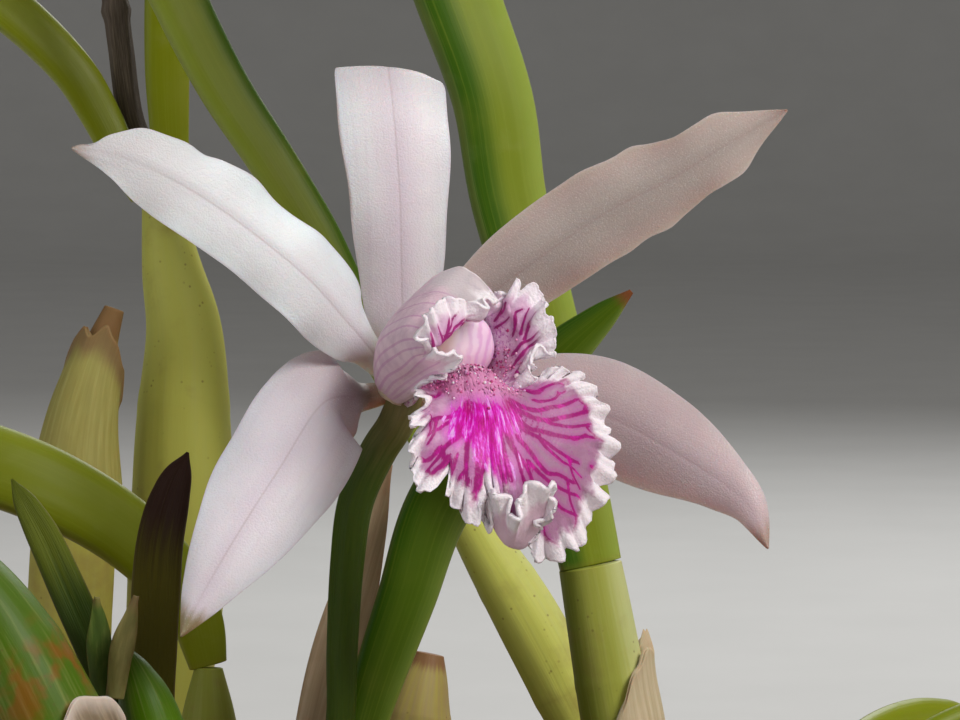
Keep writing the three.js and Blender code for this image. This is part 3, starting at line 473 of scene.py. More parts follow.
# Rhizomes and roots
# The creeping stems run half sunk in the bark, ringed with old leaf scars and shreds of brown scale.
# Thick white roots leave them, arch over the chips and dive into the bark.
def course(points, count):
    """A smooth path through the points, in even steps: the centripetal Catmull-Rom curve of the solids."""
    points = np.asarray(points, dtype=float)
    padded = np.concatenate([[2 * points[0] - points[1]], points, [2 * points[-1] - points[-2]]])
    pace = np.sqrt(np.linalg.norm(np.diff(padded, axis=0), axis=1))[:, None]
    slope = np.diff(padded, axis=0) / pace
    double = (padded[2:] - padded[:-2]) / (pace[1:] + pace[:-1])
    tangent = slope[:-1] - double + slope[1:]
    s = np.linspace(0, 1, 60)[:, None, None]
    start, end = points[:-1], points[1:]
    leave, arrive = tangent[:-1] * pace[1:-1], tangent[1:] * pace[1:-1]
    path = (2 * s**3 - 3 * s**2 + 1) * start + (s**3 - 2 * s**2 + s) * leave
    path = path + (3 * s**2 - 2 * s**3) * end + (s**3 - s**2) * arrive
    path = np.swapaxes(path, 0, 1).reshape(-1, points.shape[1])
    reach = reach_along(path)
    return read_off(np.linspace(0, reach[-1], count), reach, path)


def along(table, run):
    """The value at each run of a table of (run, value) pairs joined by a smooth curve."""
    path = course(table, 400)
    return np.interp(run, path[:, 0], path[:, 1])


def unit(vectors):
    return vectors / np.linalg.norm(vectors, axis=-1, keepdims=True)


def carried(line, across, toward, hint):
    """Rings along a line: across and toward (rows, ring) lie square to it, toward turned to the hint."""
    ahead = unit(np.gradient(line, axis=0))
    side = unit(np.cross(ahead, np.broadcast_to(hint, ahead.shape)))
    face = np.cross(side, ahead)
    return line[:, None] + across[..., None] * side[:, None] + toward[..., None] * face[:, None]


PATH_STEPS = 1500


def places_on(points, run):
    """Points on the smooth path at the given shares of its length."""
    return read_off(run, np.linspace(0, 1, PATH_STEPS), course(points, PATH_STEPS))


def close_ends(rows):
    """Shares from 0 to 1 that lie closest together at both ends, for rounded ends with few rows."""
    return (1 - np.cos(np.linspace(0, np.pi, rows))) / 2


def stem(name, points, half_width, table, rows, ring, ridges, hint=(0, -1, 0.01), blunt=0.01, **fields):
    """A round stem: circles of half_width times the table's value, each stretched by 1 + ridges(run, angle).

    Over the last stretch, blunt millimetres long, the circles shrink to 0.6 along a quarter of an ellipse.
    """
    run, angle = close_ends(rows)[:, None], circle(ring)[None, :]
    line = places_on(points, run[:, 0])
    length = reach_along(line)[-1]
    short = 1 - np.clip((1 - run) * length / blunt, 0, 1)
    size = half_width * along(table, run) * (1 - 0.4 * (1 - np.sqrt(1 - short**2)))
    size = size * (1 + ridges(run, angle))
    rings = carried(line, size * np.cos(angle), size * np.sin(angle), hint)
    fields = {"run": run, "distance": run * length, "side": np.cos(angle), "face": np.sin(angle), **fields}
    return skin(name, rings, **fields)


RHIZOME_RADIUS = 1.4
ROOT_RADIUS = 0.8
RHIZOMES = {
    "rhizome_main": [[-10, 33.8, 68.2], [-8.5, 33.3, 68.2], [3, 30.3, 68.2], [12, 25, 68.2],
        [16.4, 15.9, 68.2], [19, 9, 68.2], [18.6, 2.4, 68.2], [10, -4, 68.2], [-0.8, -9.9, 68.2],
        [-7.6, -13.8, 68.2], [-12.8, -19.8, 68.2], [-13.8, -21, 68.2]],
    "rhizome_left": [[-7.2, 0.6, 68.2], [-8.8, 0.8, 68.2], [-14, 1.4, 68.2], [-19.5, 5, 68.2],
        [-20.8, 11.5, 68.2], [-19.2, 17.2, 68.2], [-13.4, 22.8, 68.2], [-12, 24, 68.2]],
    "rhizome_right": [[-3, -30.6, 68.2], [-1.5, -31, 68.2], [9, -31.5, 68.2], [20.5, -26.5, 68.2],
        [27, -15, 68.2], [28.5, -3, 68.2], [26.5, 9.5, 68.2], [26, 11, 68.2]],
}
ROOTS = {
    "root_front": [[-4.2, -14.4, 68.9], [-4.6, -17, 70], [-3, -22, 70.4], [1.5, -25.5, 68.5],
        [3, -26.8, 63]],
    "root_left": [[-9.5, -18.6, 68.6], [-7, -22, 70.2], [-9.5, -28, 70.4], [-14, -31, 67.5],
        [-16, -32, 62]],
    "root_right": [[14.6, -3.4, 68.8], [15.5, -7.5, 70.6], [13, -13, 70.8], [12, -18.5, 68.4],
        [12, -20.5, 63]],
    "root_back": [[9.5, 23.8, 68.8], [5, 21.5, 70.5], [-1, 19.5, 70.4], [-4.5, 15.5, 68], [-5.5, 14, 63]],
    "root_middle": [[13.9, 13.6, 68.8], [9, 11, 70.6], [3.5, 9.4, 70.6], [-0.5, 8, 69], [-3, 7, 66],
        [-3.8, 6.6, 62]],
}


def scarred(run, angle):
    """The low rings of a rhizome's leaf scars."""
    return 0.07 * np.abs(np.sin(run * 46)) ** 6 + 0.03 * np.sin(3 * angle + run * 30)


def wavering(run, angle):
    """The unevenness of a root's felt."""
    return 0.06 * np.sin(run * 19 + np.sin(angle)) + 0.03 * np.sin(2 * angle + run * 9)


old_wood = Finish("old_rhizome", roughness=0.75)
scar = (old_wood.field("distance") * 1.25).sine().rise(0.8, 1)
shred = old_wood.fibres(4, 0.4, 1.6, roughness=0.7)
rind = old_wood.ramp(shred, (0.3, (84, 62, 38)), (0.5, (128, 110, 62)), (0.72, (172, 150, 108)))
old_wood.give("Base Color", old_wood.mix(scar * 0.7, rind, (62, 44, 30)))
old_wood.give("Roughness", 0.6 + shred * 0.3)
old_wood.relief(shred - scar * 0.4, 0.35, 0.8)
for name, points in RHIZOMES.items():
    rhizome = stem(name + "_scaled", points, RHIZOME_RADIUS * 0.97, [[0, 0.9], [0.5, 1], [1, 0.9]], 170, 24,
                   scarred, hint=(0, 0, 1))
    dress(rhizome, old_wood, name, slot="old_stem")

velamen = Finish("root_velamen", roughness=0.8)
felt = velamen.noise(velamen.place(), 2.2, detail=5, roughness=0.7)
tip = velamen.field("run").rise(0.78, 0.95)
felt_tone = velamen.ramp(felt, (0.3, (150, 146, 128)), (0.5, (196, 194, 182)), (0.75, (222, 220, 210)))
velamen.give("Base Color", velamen.mix(tip * 0.6, felt_tone, (130, 122, 92)))
velamen.relief(felt, 0.15, 0.7)
for name, points in ROOTS.items():
    root = stem(name + "_felted", points, ROOT_RADIUS * 0.95, [[0, 0.9], [0.5, 1], [1, 0.8]], 90, 20,
                wavering, hint=(0.2, 0, 1))
    dress(root, velamen, name, slot="velamen")

# Pseudobulbs
# Spindle-shaped water stores, one to a growth, fleshy and smooth with fine lengthwise ribs and the faint
# rings of their joints. Young ones are bright green; old ones are yellower, wrinkled and withered at the
# tip. Some bulbs carry painted light and shade: one side painted paler as if lit, the other deeper green as
# painted shade, by the amount their side-light value gives.
BULB_TABLE = [[0, 0.42], [0.12, 0.6], [0.35, 0.93], [0.6, 1], [0.82, 0.74], [1, 0.38]]
BULBS = {
    "bulb_back": {"half": 2.75, "age": 0.44, "lit": 1, "points": [
        [18.6, 2.4, 70], [18, 2.9, 77.5], [17, 3.3, 82], [16.2, 3.7, 86.2], [15.5, 3.9, 90.1],
        [14.87, 4.12, 93.6],
    ], "table": [[0, 0.42], [0.12, 0.6], [0.35, 0.8], [0.6, 0.84], [0.82, 0.78], [1, 0.72]]},
    "bulb_left": {"half": 3.4, "age": 0.6, "points": [
        [-13.4, 22.8, 70], [-13.2, 24.3, 80.5], [-12.5, 24.9, 88.6], [-12, 25.3, 95.3],
        [-11.9, 25.7, 100.7], [-11.9, 26.1, 106.8], [-12.7, 26.4, 110.8], [-13.5, 26.8, 115.7],
    ]},
    "bulb_middle": {"half": 2.2, "age": 0.55, "lit": 0.6, "points": [
        [16.4, 15.9, 70], [15.6, 16.2, 79.3], [13.3, 16.6, 84.5], [10.9, 16.9, 89], [8.1, 17.2, 93.6],
        [5, 17.6, 99.1],
    ]},
    "bulb_far_left": {"half": 2.8, "age": 0.75, "points": [
        [-19.2, 17.2, 70], [-19.1, 18.4, 81.5], [-18.9, 18.9, 89.4], [-18.6, 19.4, 96],
        [-18.1, 19.7, 101.3], [-17, 20.1, 105.8], [-16, 20.3, 108.6],
    ], "table": [[0, 0.42], [0.12, 0.6], [0.35, 0.93], [0.6, 1], [0.8, 0.68], [1, 0.24]]},
    "bulb_front": {"half": 2.3, "age": 0.4, "points": [
        [-8.8, 0.8, 70], [-8.7, 1.3, 76], [-8.6, 1.9, 82], [-8.6, 2.4, 87.5],
    ]},
    "bulb_low_left": {"half": 3.3, "age": 0.1, "points": [
        [-12.8, -19.9, 70], [-13.6, -19.6, 80], [-15, -19.3, 85.5], [-16.4, -19.1, 88.3],
        [-18, -18.9, 91.6], [-19.7, -18.7, 94.4], [-21.4, -18.6, 96.4], [-24, -18.4, 99.2],
    ]},
    "bulb_right": {"half": 2, "age": 0.5, "points": [
        [26.5, 9.5, 70], [28, 10.3, 73], [30, 11.2, 75.8],
    ]},
    "bulb_right_front": {"half": 2.2, "age": 0.3, "points": [
        [20.5, -26.5, 70], [21.6, -28, 74], [23.2, -29.8, 78.5],
    ]},
    "bulb_right_middle": {"half": 2.1, "age": 0.35, "points": [
        [27, -15, 70], [28.5, -15.5, 74], [30.3, -16.2, 78],
    ]},
    "bulb_young": {"half": 2.1, "age": 0, "points": [
        [-0.8, -9.9, 70], [-0.6, -10, 78], [-0.3, -10, 82.2],
    ]},
    "bulb_new_shoot": {"half": 1.95, "age": 0, "points": [
        [-7.6, -13.8, 70], [-8.6, -13.6, 79], [-10, -13.3, 84.5], [-11.3, -13.1, 88.6], [-12.2, -13, 91],
    ], "table": [[0, 0.4], [0.12, 0.6], [0.5, 1], [0.8, 0.88], [0.93, 0.52], [1, 0.1]]},
    "bulb_old_back": {"half": 2.6, "age": 1, "points": [
        [3, 30.3, 70], [3.6, 30.9, 79], [4.6, 31.5, 84],
    ]},
    "bulb_oldest": {"half": 2.3, "age": 1.1, "points": [
        [-8.5, 33.2, 70], [-9.4, 33.9, 74], [-10.8, 34.6, 78],
    ]},
}
bulb_flesh = Finish("pseudobulb", roughness=0.42, subsurface_weight=0.1, subsurface_scale=0.0008,
                    specular_ior_level=0.2)
here = bulb_flesh.place()
age, run = bulb_flesh.field("age"), bulb_flesh.field("run")
streaks = bulb_flesh.fibres(6, 0.1, 1.3, detail=4)
blotches = bulb_flesh.noise(here, 0.25, detail=5, roughness=0.6)
# Painted light and shade: the side-light value, times the side, picks out the lit side and the shaded side.
lit = bulb_flesh.field("side") * bulb_flesh.field("lit") + streaks * 0.3
withered = (run + streaks * 0.06).rise(0.93, 0.99) * age.rise(0.65, 0.75)
foot = (run + streaks * 0.2).rise(0.3, 0.12)
freckles = bulb_flesh.cells(here, 1.7).rise(0.2, 0.08) * bulb_flesh.noise(here, 0.4).rise(0.5, 0.62)
stained = bulb_flesh.field("stained") * (run + blotches * 0.2 - 0.74).size().rise(0.09, 0.02)
stain = bulb_flesh.noise(here, 0.55, detail=2).rise(0.44, 0.62) * stained
bulb_flesh.give("Base Color", bulb_flesh.layers(
    bulb_flesh.ramp(age, (0, (72, 108, 0)), (0.12, (64, 90, 0)), (0.35, (114, 124, 34)),
                    (0.55, (184, 186, 88)), (0.8, (158, 148, 66))),
    # Painted light on the lit side, and painted shade on the other side, which is deeper green.
    (lit.rise(0.35, 1.1) * 0.6, (196, 200, 150)),
    (lit.rise(0, -0.8) * 0.7, (84, 102, 0)),
    (streaks.rise(0.5, 0.75) * 0.2, (170, 172, 104)),
    ((blotches + age * 0.18).rise(0.62, 0.85) * 0.4, (132, 104, 66)),
    ((age + streaks * 0.3).rise(1, 1.25) * 0.8, (146, 124, 92)),
    (withered * 0.9, (120, 84, 56)),
    (foot * 0.5, (128, 104, 62)),
    (freckles * 0.5, (90, 56, 34)),
    (stain * 0.5, (140, 52, 12)),
    (bulb_flesh.field("joint").rise(0.2, 0.9) * 0.4, (104, 84, 42)),
))
bulb_flesh.give("Roughness", 0.36 + streaks * 0.16 + age * 0.14)
bulb_flesh.relief(streaks * 0.5 + blotches * 0.3, 0.08, 0.6)
BULB_JOINTS = (0.2, 0.45, 0.7)
BULB_ROWS = 100
share = close_ends(BULB_ROWS)[:, None]
joint = sum(np.exp(-((share - place) / 0.006) ** 2) for place in BULB_JOINTS)
for seed, (name, bulb) in enumerate(BULBS.items()):
    def ribs(run, angle, age=bulb["age"], seed=seed):
        """Fine ribs, deeper with age, and a shallow ring at each joint."""
        fine = (0.002 + 0.012 * age**2) * np.cos(11 * angle + 2 * np.sin(run * 5 + seed))
        waves = 0.015 * np.sin(3 * angle + 7 * run + seed) + 0.01 * np.sin(2 * angle - 11 * run)
        joints = sum(0.02 * np.exp(-((run - place) / 0.01) ** 2) for place in BULB_JOINTS)
        return np.sin(np.pi * run) ** 0.5 * (fine + waves) + joints - 0.015
    piece = stem(name + "_flesh", bulb["points"], bulb["half"], bulb.get("table", BULB_TABLE), BULB_ROWS, 56,
                 ribs, blunt=0.06, age=bulb["age"], joint=joint, stained=name == "bulb_low_left",
                 lit=bulb.get("lit", 0))
    slot = "old_stem" if bulb["age"] >= 1 else "young_green" if bulb["age"] == 0 else "bulb_green"
    dress(piece, bulb_flesh, name, slot=slot)

# Leaves
# Narrow, thick and stiff, half round below and grooved down the upper side, the upright ones almost round.
# Each tapers to a blunt point that dries brown, and is waxy and finely lined along its length. Its foot
# stands on the pseudobulb's top, set back from the solid's gap to a hair's breadth. As on the bulbs, some
# leaves have painted light and shade: one side painted paler as if lit, the other deeper green as shade.
LEAF_TABLE = [[0, 0.52], [0.08, 0.66], [0.3, 0.86], [0.55, 1], [0.78, 0.86], [0.92, 0.5], [1, 0.08]]
LEAVES = {
    "leaf_young": {"half": 1.95, "age": 0, "lit": 0.6, "set_back": 0.4, "groove": 0.05, "points": [
        [0.4, -9.2, 82.7], [1.7, -8.6, 87.3], [3.7, -7.4, 93], [5.5, -6.2, 98.2], [9.3, -5.2, 103.4],
        [12.8, -5, 107.2], [15.2, -4.9, 109.4], [17, -5.1, 111],
    ]},
    "leaf_back": {"half": 2.8, "age": 0.4, "lit": 1, "set_back": 0.32, "groove": 0.04, "points": [
        [14.8, 4.2, 93.9], [13.8, 4.5, 98.8], [13, 4.9, 103.8], [11.5, 5.3, 109.9], [9.8, 5.7, 116.1],
        [8.8, 6.2, 122.3], [6.7, 6.6, 128.4], [3.6, 7.2, 137], [-0.6, 8.2, 147], [-5.2, 9.8, 156],
        [-10, 11.6, 164],
    ], "table": [[0, 0.72], [0.08, 0.77], [0.3, 0.87], [0.55, 1], [0.78, 0.86], [0.92, 0.5], [1, 0.08]]},
    "leaf_left_low": {"half": 1.95, "age": 0.6, "set_back": 0.45, "groove": 0.05, "points": [
        [-14.8, 26.5, 116.2], [-16.2, 26.7, 118.6], [-17.6, 27.2, 121.3], [-19.4, 27.4, 124.2],
        [-23.6, 27.7, 128.3], [-30, 28.5, 132.6], [-37.5, 29.6, 135.6], [-45, 30.8, 137],
        [-52, 32, 136.6],
    ]},
    "leaf_left_high": {"half": 2, "age": 0.6, "set_back": 0.35, "groove": 0.05, "points": [
        [-12.7, 26.9, 116.1], [-12.9, 26.6, 120.9], [-13, 26.8, 125], [-12.6, 27.5, 133],
        [-11.2, 28.9, 144], [-9.2, 30.6, 155], [-7.2, 32.4, 165],
    ]},
    "leaf_middle": {"half": 1.95, "age": 0.5, "lit": -0.7, "set_back": 0.5, "groove": 0.05, "points": [
        [4.7, 17.6, 99.6], [2.8, 17.9, 103.4], [-1.1, 18.4, 110.5], [-2.7, 18.6, 113.7],
        [-5.6, 18.9, 118.4], [-8.8, 19.3, 123.3], [-12.2, 19.8, 130], [-15.8, 20.7, 138],
        [-20, 22.2, 147.5], [-24.5, 24.2, 157], [-29, 26.5, 165],
    ]},
    "leaf_front": {"half": 2.6, "age": 0.55, "set_back": 0.65, "groove": 0.1, "points": [
        [-8.8, 2.6, 88.2], [-9.3, 2.7, 90.3], [-10.2, 2.7, 92.2], [-11.8, 2.4, 94.2], [-14.1, 1.7, 96.3],
        [-16.9, 0.6, 98.2], [-20, -0.8, 99.8], [-23.6, -3.2, 101.2], [-28.2, -7, 102.5],
        [-34.2, -12.8, 103.3], [-40.3, -18.5, 102.9],
    ], "table": [[0, 0.46], [0.06, 0.62], [0.2, 0.86], [0.5, 1], [0.78, 0.86], [0.92, 0.5], [1, 0.08]]},
    "leaf_low_left_upper": {"half": 2.1, "age": 0.55, "set_back": 0.4, "groove": 0.1, "points": [
        [-24.3, -17.5, 100.4], [-27.5, -17, 105], [-32, -16.4, 112], [-38, -15.6, 121], [-45, -14.4, 130],
        [-52, -13, 137],
    ]},
    "leaf_low_left_lower": {"half": 2.1, "age": 0.5, "set_back": 0.4, "groove": 0.2, "points": [
        [-25.2, -19.4, 99.2], [-29, -21.3, 102.4], [-36, -24.6, 106], [-44, -28, 107], [-52, -31, 105],
        [-59, -33.5, 100],
    ]},
    "leaf_right_upper": {"half": 2.1, "age": 0.45, "set_back": 0.3, "groove": 0.3, "points": [
        [31.1, 11, 76.3], [34.8, 12.2, 79.4], [40, 14.6, 81.6], [48, 18, 82], [57, 21, 78.5],
        [64, 23.5, 72],
    ]},
    "leaf_right_back": {"half": 2, "age": 0.55, "set_back": 0.3, "groove": 0.3, "points": [
        [30.2, 12.7, 76.3], [32.6, 18, 79], [36.6, 25.5, 79.6], [42, 34, 78.2], [47, 42, 73.5],
    ]},
    "leaf_right_front_outer": {"half": 2.1, "age": 0.3, "set_back": 0.3, "groove": 0.3, "points": [
        [24.4, -29.9, 78.9], [29.4, -33.6, 82.5], [37, -39, 83.5], [46, -44, 80.5], [55, -48.5, 74],
    ]},
    "leaf_right_front_inner": {"half": 2, "age": 0.35, "set_back": 0.3, "groove": 0.3, "points": [
        [22.8, -31.2, 78.9], [23, -36.5, 82.2], [24, -44, 82.4], [24.6, -53, 78.5], [25, -61, 71],
    ]},
    "leaf_right_middle": {"half": 2.1, "age": 0.4, "set_back": 0.3, "groove": 0.3, "points": [
        [30.9, -16.4, 78.8], [36, -18, 82.5], [44, -20.5, 84.5], [53, -23, 82.5], [61, -25, 77],
    ]},
}


def leaf_blade(name, points, half, age, table=LEAF_TABLE, hint=(0.3, -1, 0.6), rows=120, groove=0.3,
               set_back=0, lit=0):
    """A thick leaf: in units of its half width the lower side falls 0.8 below the edges in a half ellipse,
    the upper side rises 0.5 and dips along the middle by a bell of width 0.42, the groove. The foot is moved
    back by set_back millimetres, its edge barely rounded."""
    points = np.asarray(points, dtype=float)
    points = np.concatenate([points[:1] - set_back * unit(points[1] - points[0]), points[1:]])
    run, angle = close_ends(rows)[:, None], circle(44)[None, :]
    across, lift = np.cos(angle), np.sin(angle)
    upper = 0.5 * lift - groove * np.exp(-((across / 0.42) ** 2)) * lift
    toward = np.where(lift > 0, upper, 0.8 * lift) + 0.1 * np.abs(across) ** 3
    line = places_on(points, run[:, 0])
    length = reach_along(line)[-1]
    short = 1 - np.clip(run * length / 0.06, 0, 1)
    size = half * along(table, run) * (1 + 0.008 * np.sin(run * 23 + 4 * np.sin(run * 9)))
    size = size * (1 - 0.35 * (1 - np.sqrt(1 - short**2)))
    return skin(name, carried(line, size * across, size * toward, hint), run=run, distance=run * length,
                side=across, face=lift, left_mm=(1 - run) * length, age=age, lit=lit)


leaf_wax = Finish("leaf", roughness=0.4, subsurface_weight=0.08, subsurface_scale=0.0008,
                  specular_ior_level=0.2)
here = leaf_wax.place()
age, side, left = leaf_wax.field("age"), leaf_wax.field("side"), leaf_wax.field("left_mm")
lines = leaf_wax.fibres(9, 0.05, 1.5, detail=4, roughness=0.5)
clouds = leaf_wax.noise(here, 0.16, detail=4, roughness=0.5)
# Painted light and shade: the side-light value, times the side, picks out the lit side and the shaded side.
lit = side * leaf_wax.field("lit") + clouds * 0.3
bloom = leaf_wax.noise(here, 0.5, detail=6).rise(0.55, 0.75)
dry = (left + lines * 1.2).rise(1.9, 0.9)
leaf_wax.give("Base Color", leaf_wax.layers(
    leaf_wax.ramp(age, (0, (72, 98, 0)), (0.35, (108, 124, 14)), (0.6, (118, 126, 6))),
    # Painted light on the lit side, and painted shade on the other side, which is deeper green.
    (lit.rise(0.3, 1.15) * 0.6, (150, 168, 84)),
    (lit.rise(0.12, -0.5) * 0.9, (40, 80, 0)),
    (lines.rise(0.45, 0.75) * 0.16, (140, 152, 50)),
    (clouds.rise(0.5, 0.75) * (0.15 + age * 0.3), (128, 130, 46)),
    ((side.size() + lines * 0.1).rise(0.92, 1.05) * 0.25, (150, 158, 84)),
    (bloom * age * 0.2, (150, 156, 90)),
    ((left + clouds * 3).rise(5.5, 1.5) * age * 0.7, (156, 142, 52)),
    ((leaf_wax.field("distance") + lines * 0.6).rise(0.9, 0.4) * 0.2, (132, 110, 44)),
    (dry, (120, 70, 36)),
))
leaf_wax.give("Roughness", 0.36 + lines * 0.1 + bloom * 0.12 + dry * 0.3)
leaf_wax.relief(lines * 0.5 + bloom * 0.2, 0.05, 0.5)
for name, leaf in LEAVES.items():
    dress(leaf_blade(name + "_wax", **leaf), leaf_wax, name,
          slot="young_green" if leaf["age"] == 0 else "leaf_green")

# Two young shoots
# Folded new leaves that push straight up out of the bark: one still in its dark red-brown scales, one
# dark green and already opening at its tip.
SHOOT_TABLE = [[0, 0.7], [0.3, 0.9], [0.7, 1], [0.86, 0.95], [0.94, 0.72], [1, 0.06]]
SHOOTS = {
    "shoot_red": {"half": 1.45, "points": [
        [-11.6, -7.8, 66], [-11.4, -7.4, 80], [-11.3, -7.3, 87], [-11, -6.9, 92.9], [-10.7, -6.7, 96.5],
        [-10, -6.4, 99.4], [-9.1, -6.3, 101.6],
    ]},
    "shoot_dark_green": {"half": 1.1, "points": [
        [-9.4, -10.1, 66], [-11.8, -10.4, 84], [-12.9, -10.5, 87.6], [-14.2, -10.5, 90.5],
        [-16, -10.4, 94.6], [-17.2, -10.2, 97.2], [-19, -10, 100.4],
    ]},
}
for name, low, high, slot in [("shoot_red", (94, 88, 14), (44, 20, 8), "dark_shoot"),
                              ("shoot_dark_green", (44, 64, 0), (88, 98, 8), "leaf_green")]:
    scale = Finish(name, roughness=0.4, specular_ior_level=0.2)
    fine = scale.fibres(9, 0.1, 1.5)
    scale.give("Base Color", scale.layers(
        scale.mix((scale.field("run") + fine * 0.12).rise(0.82, 0.96), low, high),
        (fine.rise(0.5, 0.72) * 0.12, (92, 80, 24)),
        (scale.field("side").size().rise(0.9, 1) * 0.2, (128, 90, 44)),
    ))
    scale.give("Roughness", 0.38 + fine * 0.2)
    scale.relief(fine, 0.15, 0.7)
    shoot = leaf_blade(name + "_scales", **SHOOTS[name], age=0.2, table=SHOOT_TABLE, hint=(0, -1, 0.1),
                       rows=110, groove=0.15)
    dress(shoot, scale, name, slot=slot)

# Dry stalk
# The stalk of last year's flower, dead and straw coloured, with shrunken joints and a frayed end.
dry_straw = Finish("dry_straw", roughness=0.8)
fray = dry_straw.fibres(6, 0.2, 1.5, detail=6, roughness=0.7)
dry_straw.give("Base Color", dry_straw.ramp(fray, (0.3, (64, 52, 46)), (0.5, (98, 84, 72)),
                                            (0.75, (142, 126, 106))))
dry_straw.relief(fray, 0.3, 0.8)
DRY_STALK = [[-14.1, 29, 116.2], [-14.7, 29.1, 118.5], [-15.7, 29.2, 121], [-16.4, 29.6, 126],
             [-17, 30, 131], [-18.2, 30.7, 138], [-20.5, 31.7, 145]]


def shrunken(run, angle):
    """Five furrows down the dry stalk and one swollen joint."""
    return 0.08 * np.cos(5 * angle + 6 * run) + 0.2 * np.exp(-((run - 0.42) / 0.015) ** 2)


stalk = stem("dry_stalk_frayed", DRY_STALK, 0.86, [[0, 1], [0.8, 0.9], [1, 0.4]], 150, 28, shrunken)
dress(stalk, dry_straw, "dry_stalk", slot="dry_paper")


# Sheaths and bracts
# Thin papery scales left from the growth's first months. They wrap part of a pseudobulb or stand beside
# it, dried to a pale straw with brown fibres, torn along the upper edge and rolled outward there.
def thin_sheet(name, middle, thickness, **fields):
    """A closed thin sheet over a grid of its middle points (rows, columns, 3): each row becomes a ring that
    runs over the front and back again, half the thickness away along the grid's normals."""
    down, over = np.gradient(middle, axis=0), np.gradient(middle, axis=1)
    normal = unit(np.cross(over, down))
    half = np.asarray(thickness)[..., None] / 2 * normal
    grid = np.concatenate([middle + half, (middle - half)[:, ::-1]], axis=1)
    doubled = {}
    for field, numbers in fields.items():
        numbers = np.broadcast_to(numbers, middle.shape[:2])
        doubled[field] = np.concatenate([numbers, numbers[:, ::-1]], axis=1)
    front = np.ones(middle.shape[:2])
    doubled["front"] = np.concatenate([front, -front[:, ::-1]], axis=1)
    return skin(name, grid, **doubled)


def papery_finish(name, dark, middle, pale, end, end_from):
    """Dry scale: fine fibres along its length in three tones, mottled, its end tinted from end_from on."""
    papery = Finish(name, roughness=0.7, subsurface_weight=0.2, subsurface_scale=0.0006)
    lengthwise = papery.vector(papery.field("across_mm") * 1.6, 0, papery.field("distance") * 0.12)
    strands = papery.noise(lengthwise, 1.4, detail=5, roughness=0.6)
    mottle = papery.noise(papery.place(), 0.5, detail=5)
    edge = (papery.field("run") + mottle * 0.12 - 0.06).rise(end_from, end_from + 0.14)
    papery.give("Base Color", papery.layers(
        papery.ramp(strands, (0.3, dark), (0.5, middle), (0.7, pale)),
        (mottle.rise(0.5, 0.75) * 0.3, dark),
        (edge * 0.75, end),
    ))
    papery.give("Roughness", 0.55 + strands * 0.3)
    papery.relief(strands + mottle * 0.4, 0.08, 0.6)
    return papery


# Each paper's dark, middle and pale tone, the tone of its end, and the run from which the end is tinted
PAPER_TONES = {
    "cream_paper": ((170, 154, 120), (184, 168, 136), (198, 184, 154), (170, 146, 112), 0.93),
    "yellow_paper": ((140, 132, 60), (152, 144, 72), (166, 158, 90), (118, 84, 56), 0.8),
    "pink_paper": ((92, 76, 54), (120, 102, 78), (150, 134, 110), (214, 200, 188), 0.88),
    "tan_paper": ((160, 136, 104), (184, 160, 128), (204, 184, 154), (160, 124, 92), 0.85),
    "green_scale": ((64, 88, 16), (80, 106, 26), (120, 136, 60), (132, 120, 60), 0.85),
    "brown_scale": ((104, 100, 46), (126, 120, 64), (150, 140, 86), (120, 96, 60), 0.8),
}
PAPERS = {name: papery_finish(name, *tones) for name, tones in PAPER_TONES.items()}
SHEATH_CLEARANCE = 0.42
SLEEVES = [
    {"name": "sheath_back", "bulb": "bulb_back", "from": 0.19, "to": 0.79, "middle": 0.1, "wrap": 3.5,
     "paper": "cream_paper", "lean": 0.05},
    {"name": "sheath_far_left", "bulb": "bulb_far_left", "from": 0.63, "to": 0.96, "middle": -1.7,
     "wrap": 4.2, "paper": "yellow_paper", "lean": 0},
    {"name": "sheath_low_left", "bulb": "bulb_low_left", "from": 0.19, "to": 0.57, "middle": -0.9,
     "wrap": 3.7, "paper": "pink_paper", "lean": 0},
]
for sleeve in SLEEVES:
    bulb = BULBS[sleeve["bulb"]]
    down, over = np.linspace(0, 1, 64)[:, None], np.linspace(-1, 1, 80)[None, :]
    torn = 0.03 * np.sin(over * 5 + 2 * np.sin(over * 3)) + 0.014 * np.sin(over * 17 + 1)
    torn = torn + sleeve["lean"] * over
    span = down * (1 - 0.3 * over**2 + torn * down**3)
    t = sleeve["from"] + (sleeve["to"] - sleeve["from"]) * span
    line = course(bulb["points"], 400)
    at = np.linspace(0, 1, 400)
    centre = read_off(t, at, line)
    tangent = unit(read_off(t, at, unit(np.gradient(line, axis=0))))
    front = np.array([math.cos(sleeve["middle"]), math.sin(sleeve["middle"]), 0])
    side = unit(np.cross(tangent, front))
    out = np.cross(side, tangent)
    curl = 0.25 * np.clip((down - 0.8) / 0.2, 0, 1) ** 2 + 0.06 * np.sin(over * 9 + down * 4) * down
    away = bulb["half"] * along(bulb.get("table", BULB_TABLE), t) + SHEATH_CLEARANCE + curl
    angle = over * sleeve["wrap"] / 2
    middle = centre + (away * np.cos(angle))[..., None] * out + (away * np.sin(angle))[..., None] * side
    sheath = thin_sheet(sleeve["name"] + "_paper", middle, 0.2, run=down, across_mm=over * 8,
                        distance=down * 14)
    dress(sheath, PAPERS[sleeve["paper"]], sleeve["name"], slot="dry_paper")

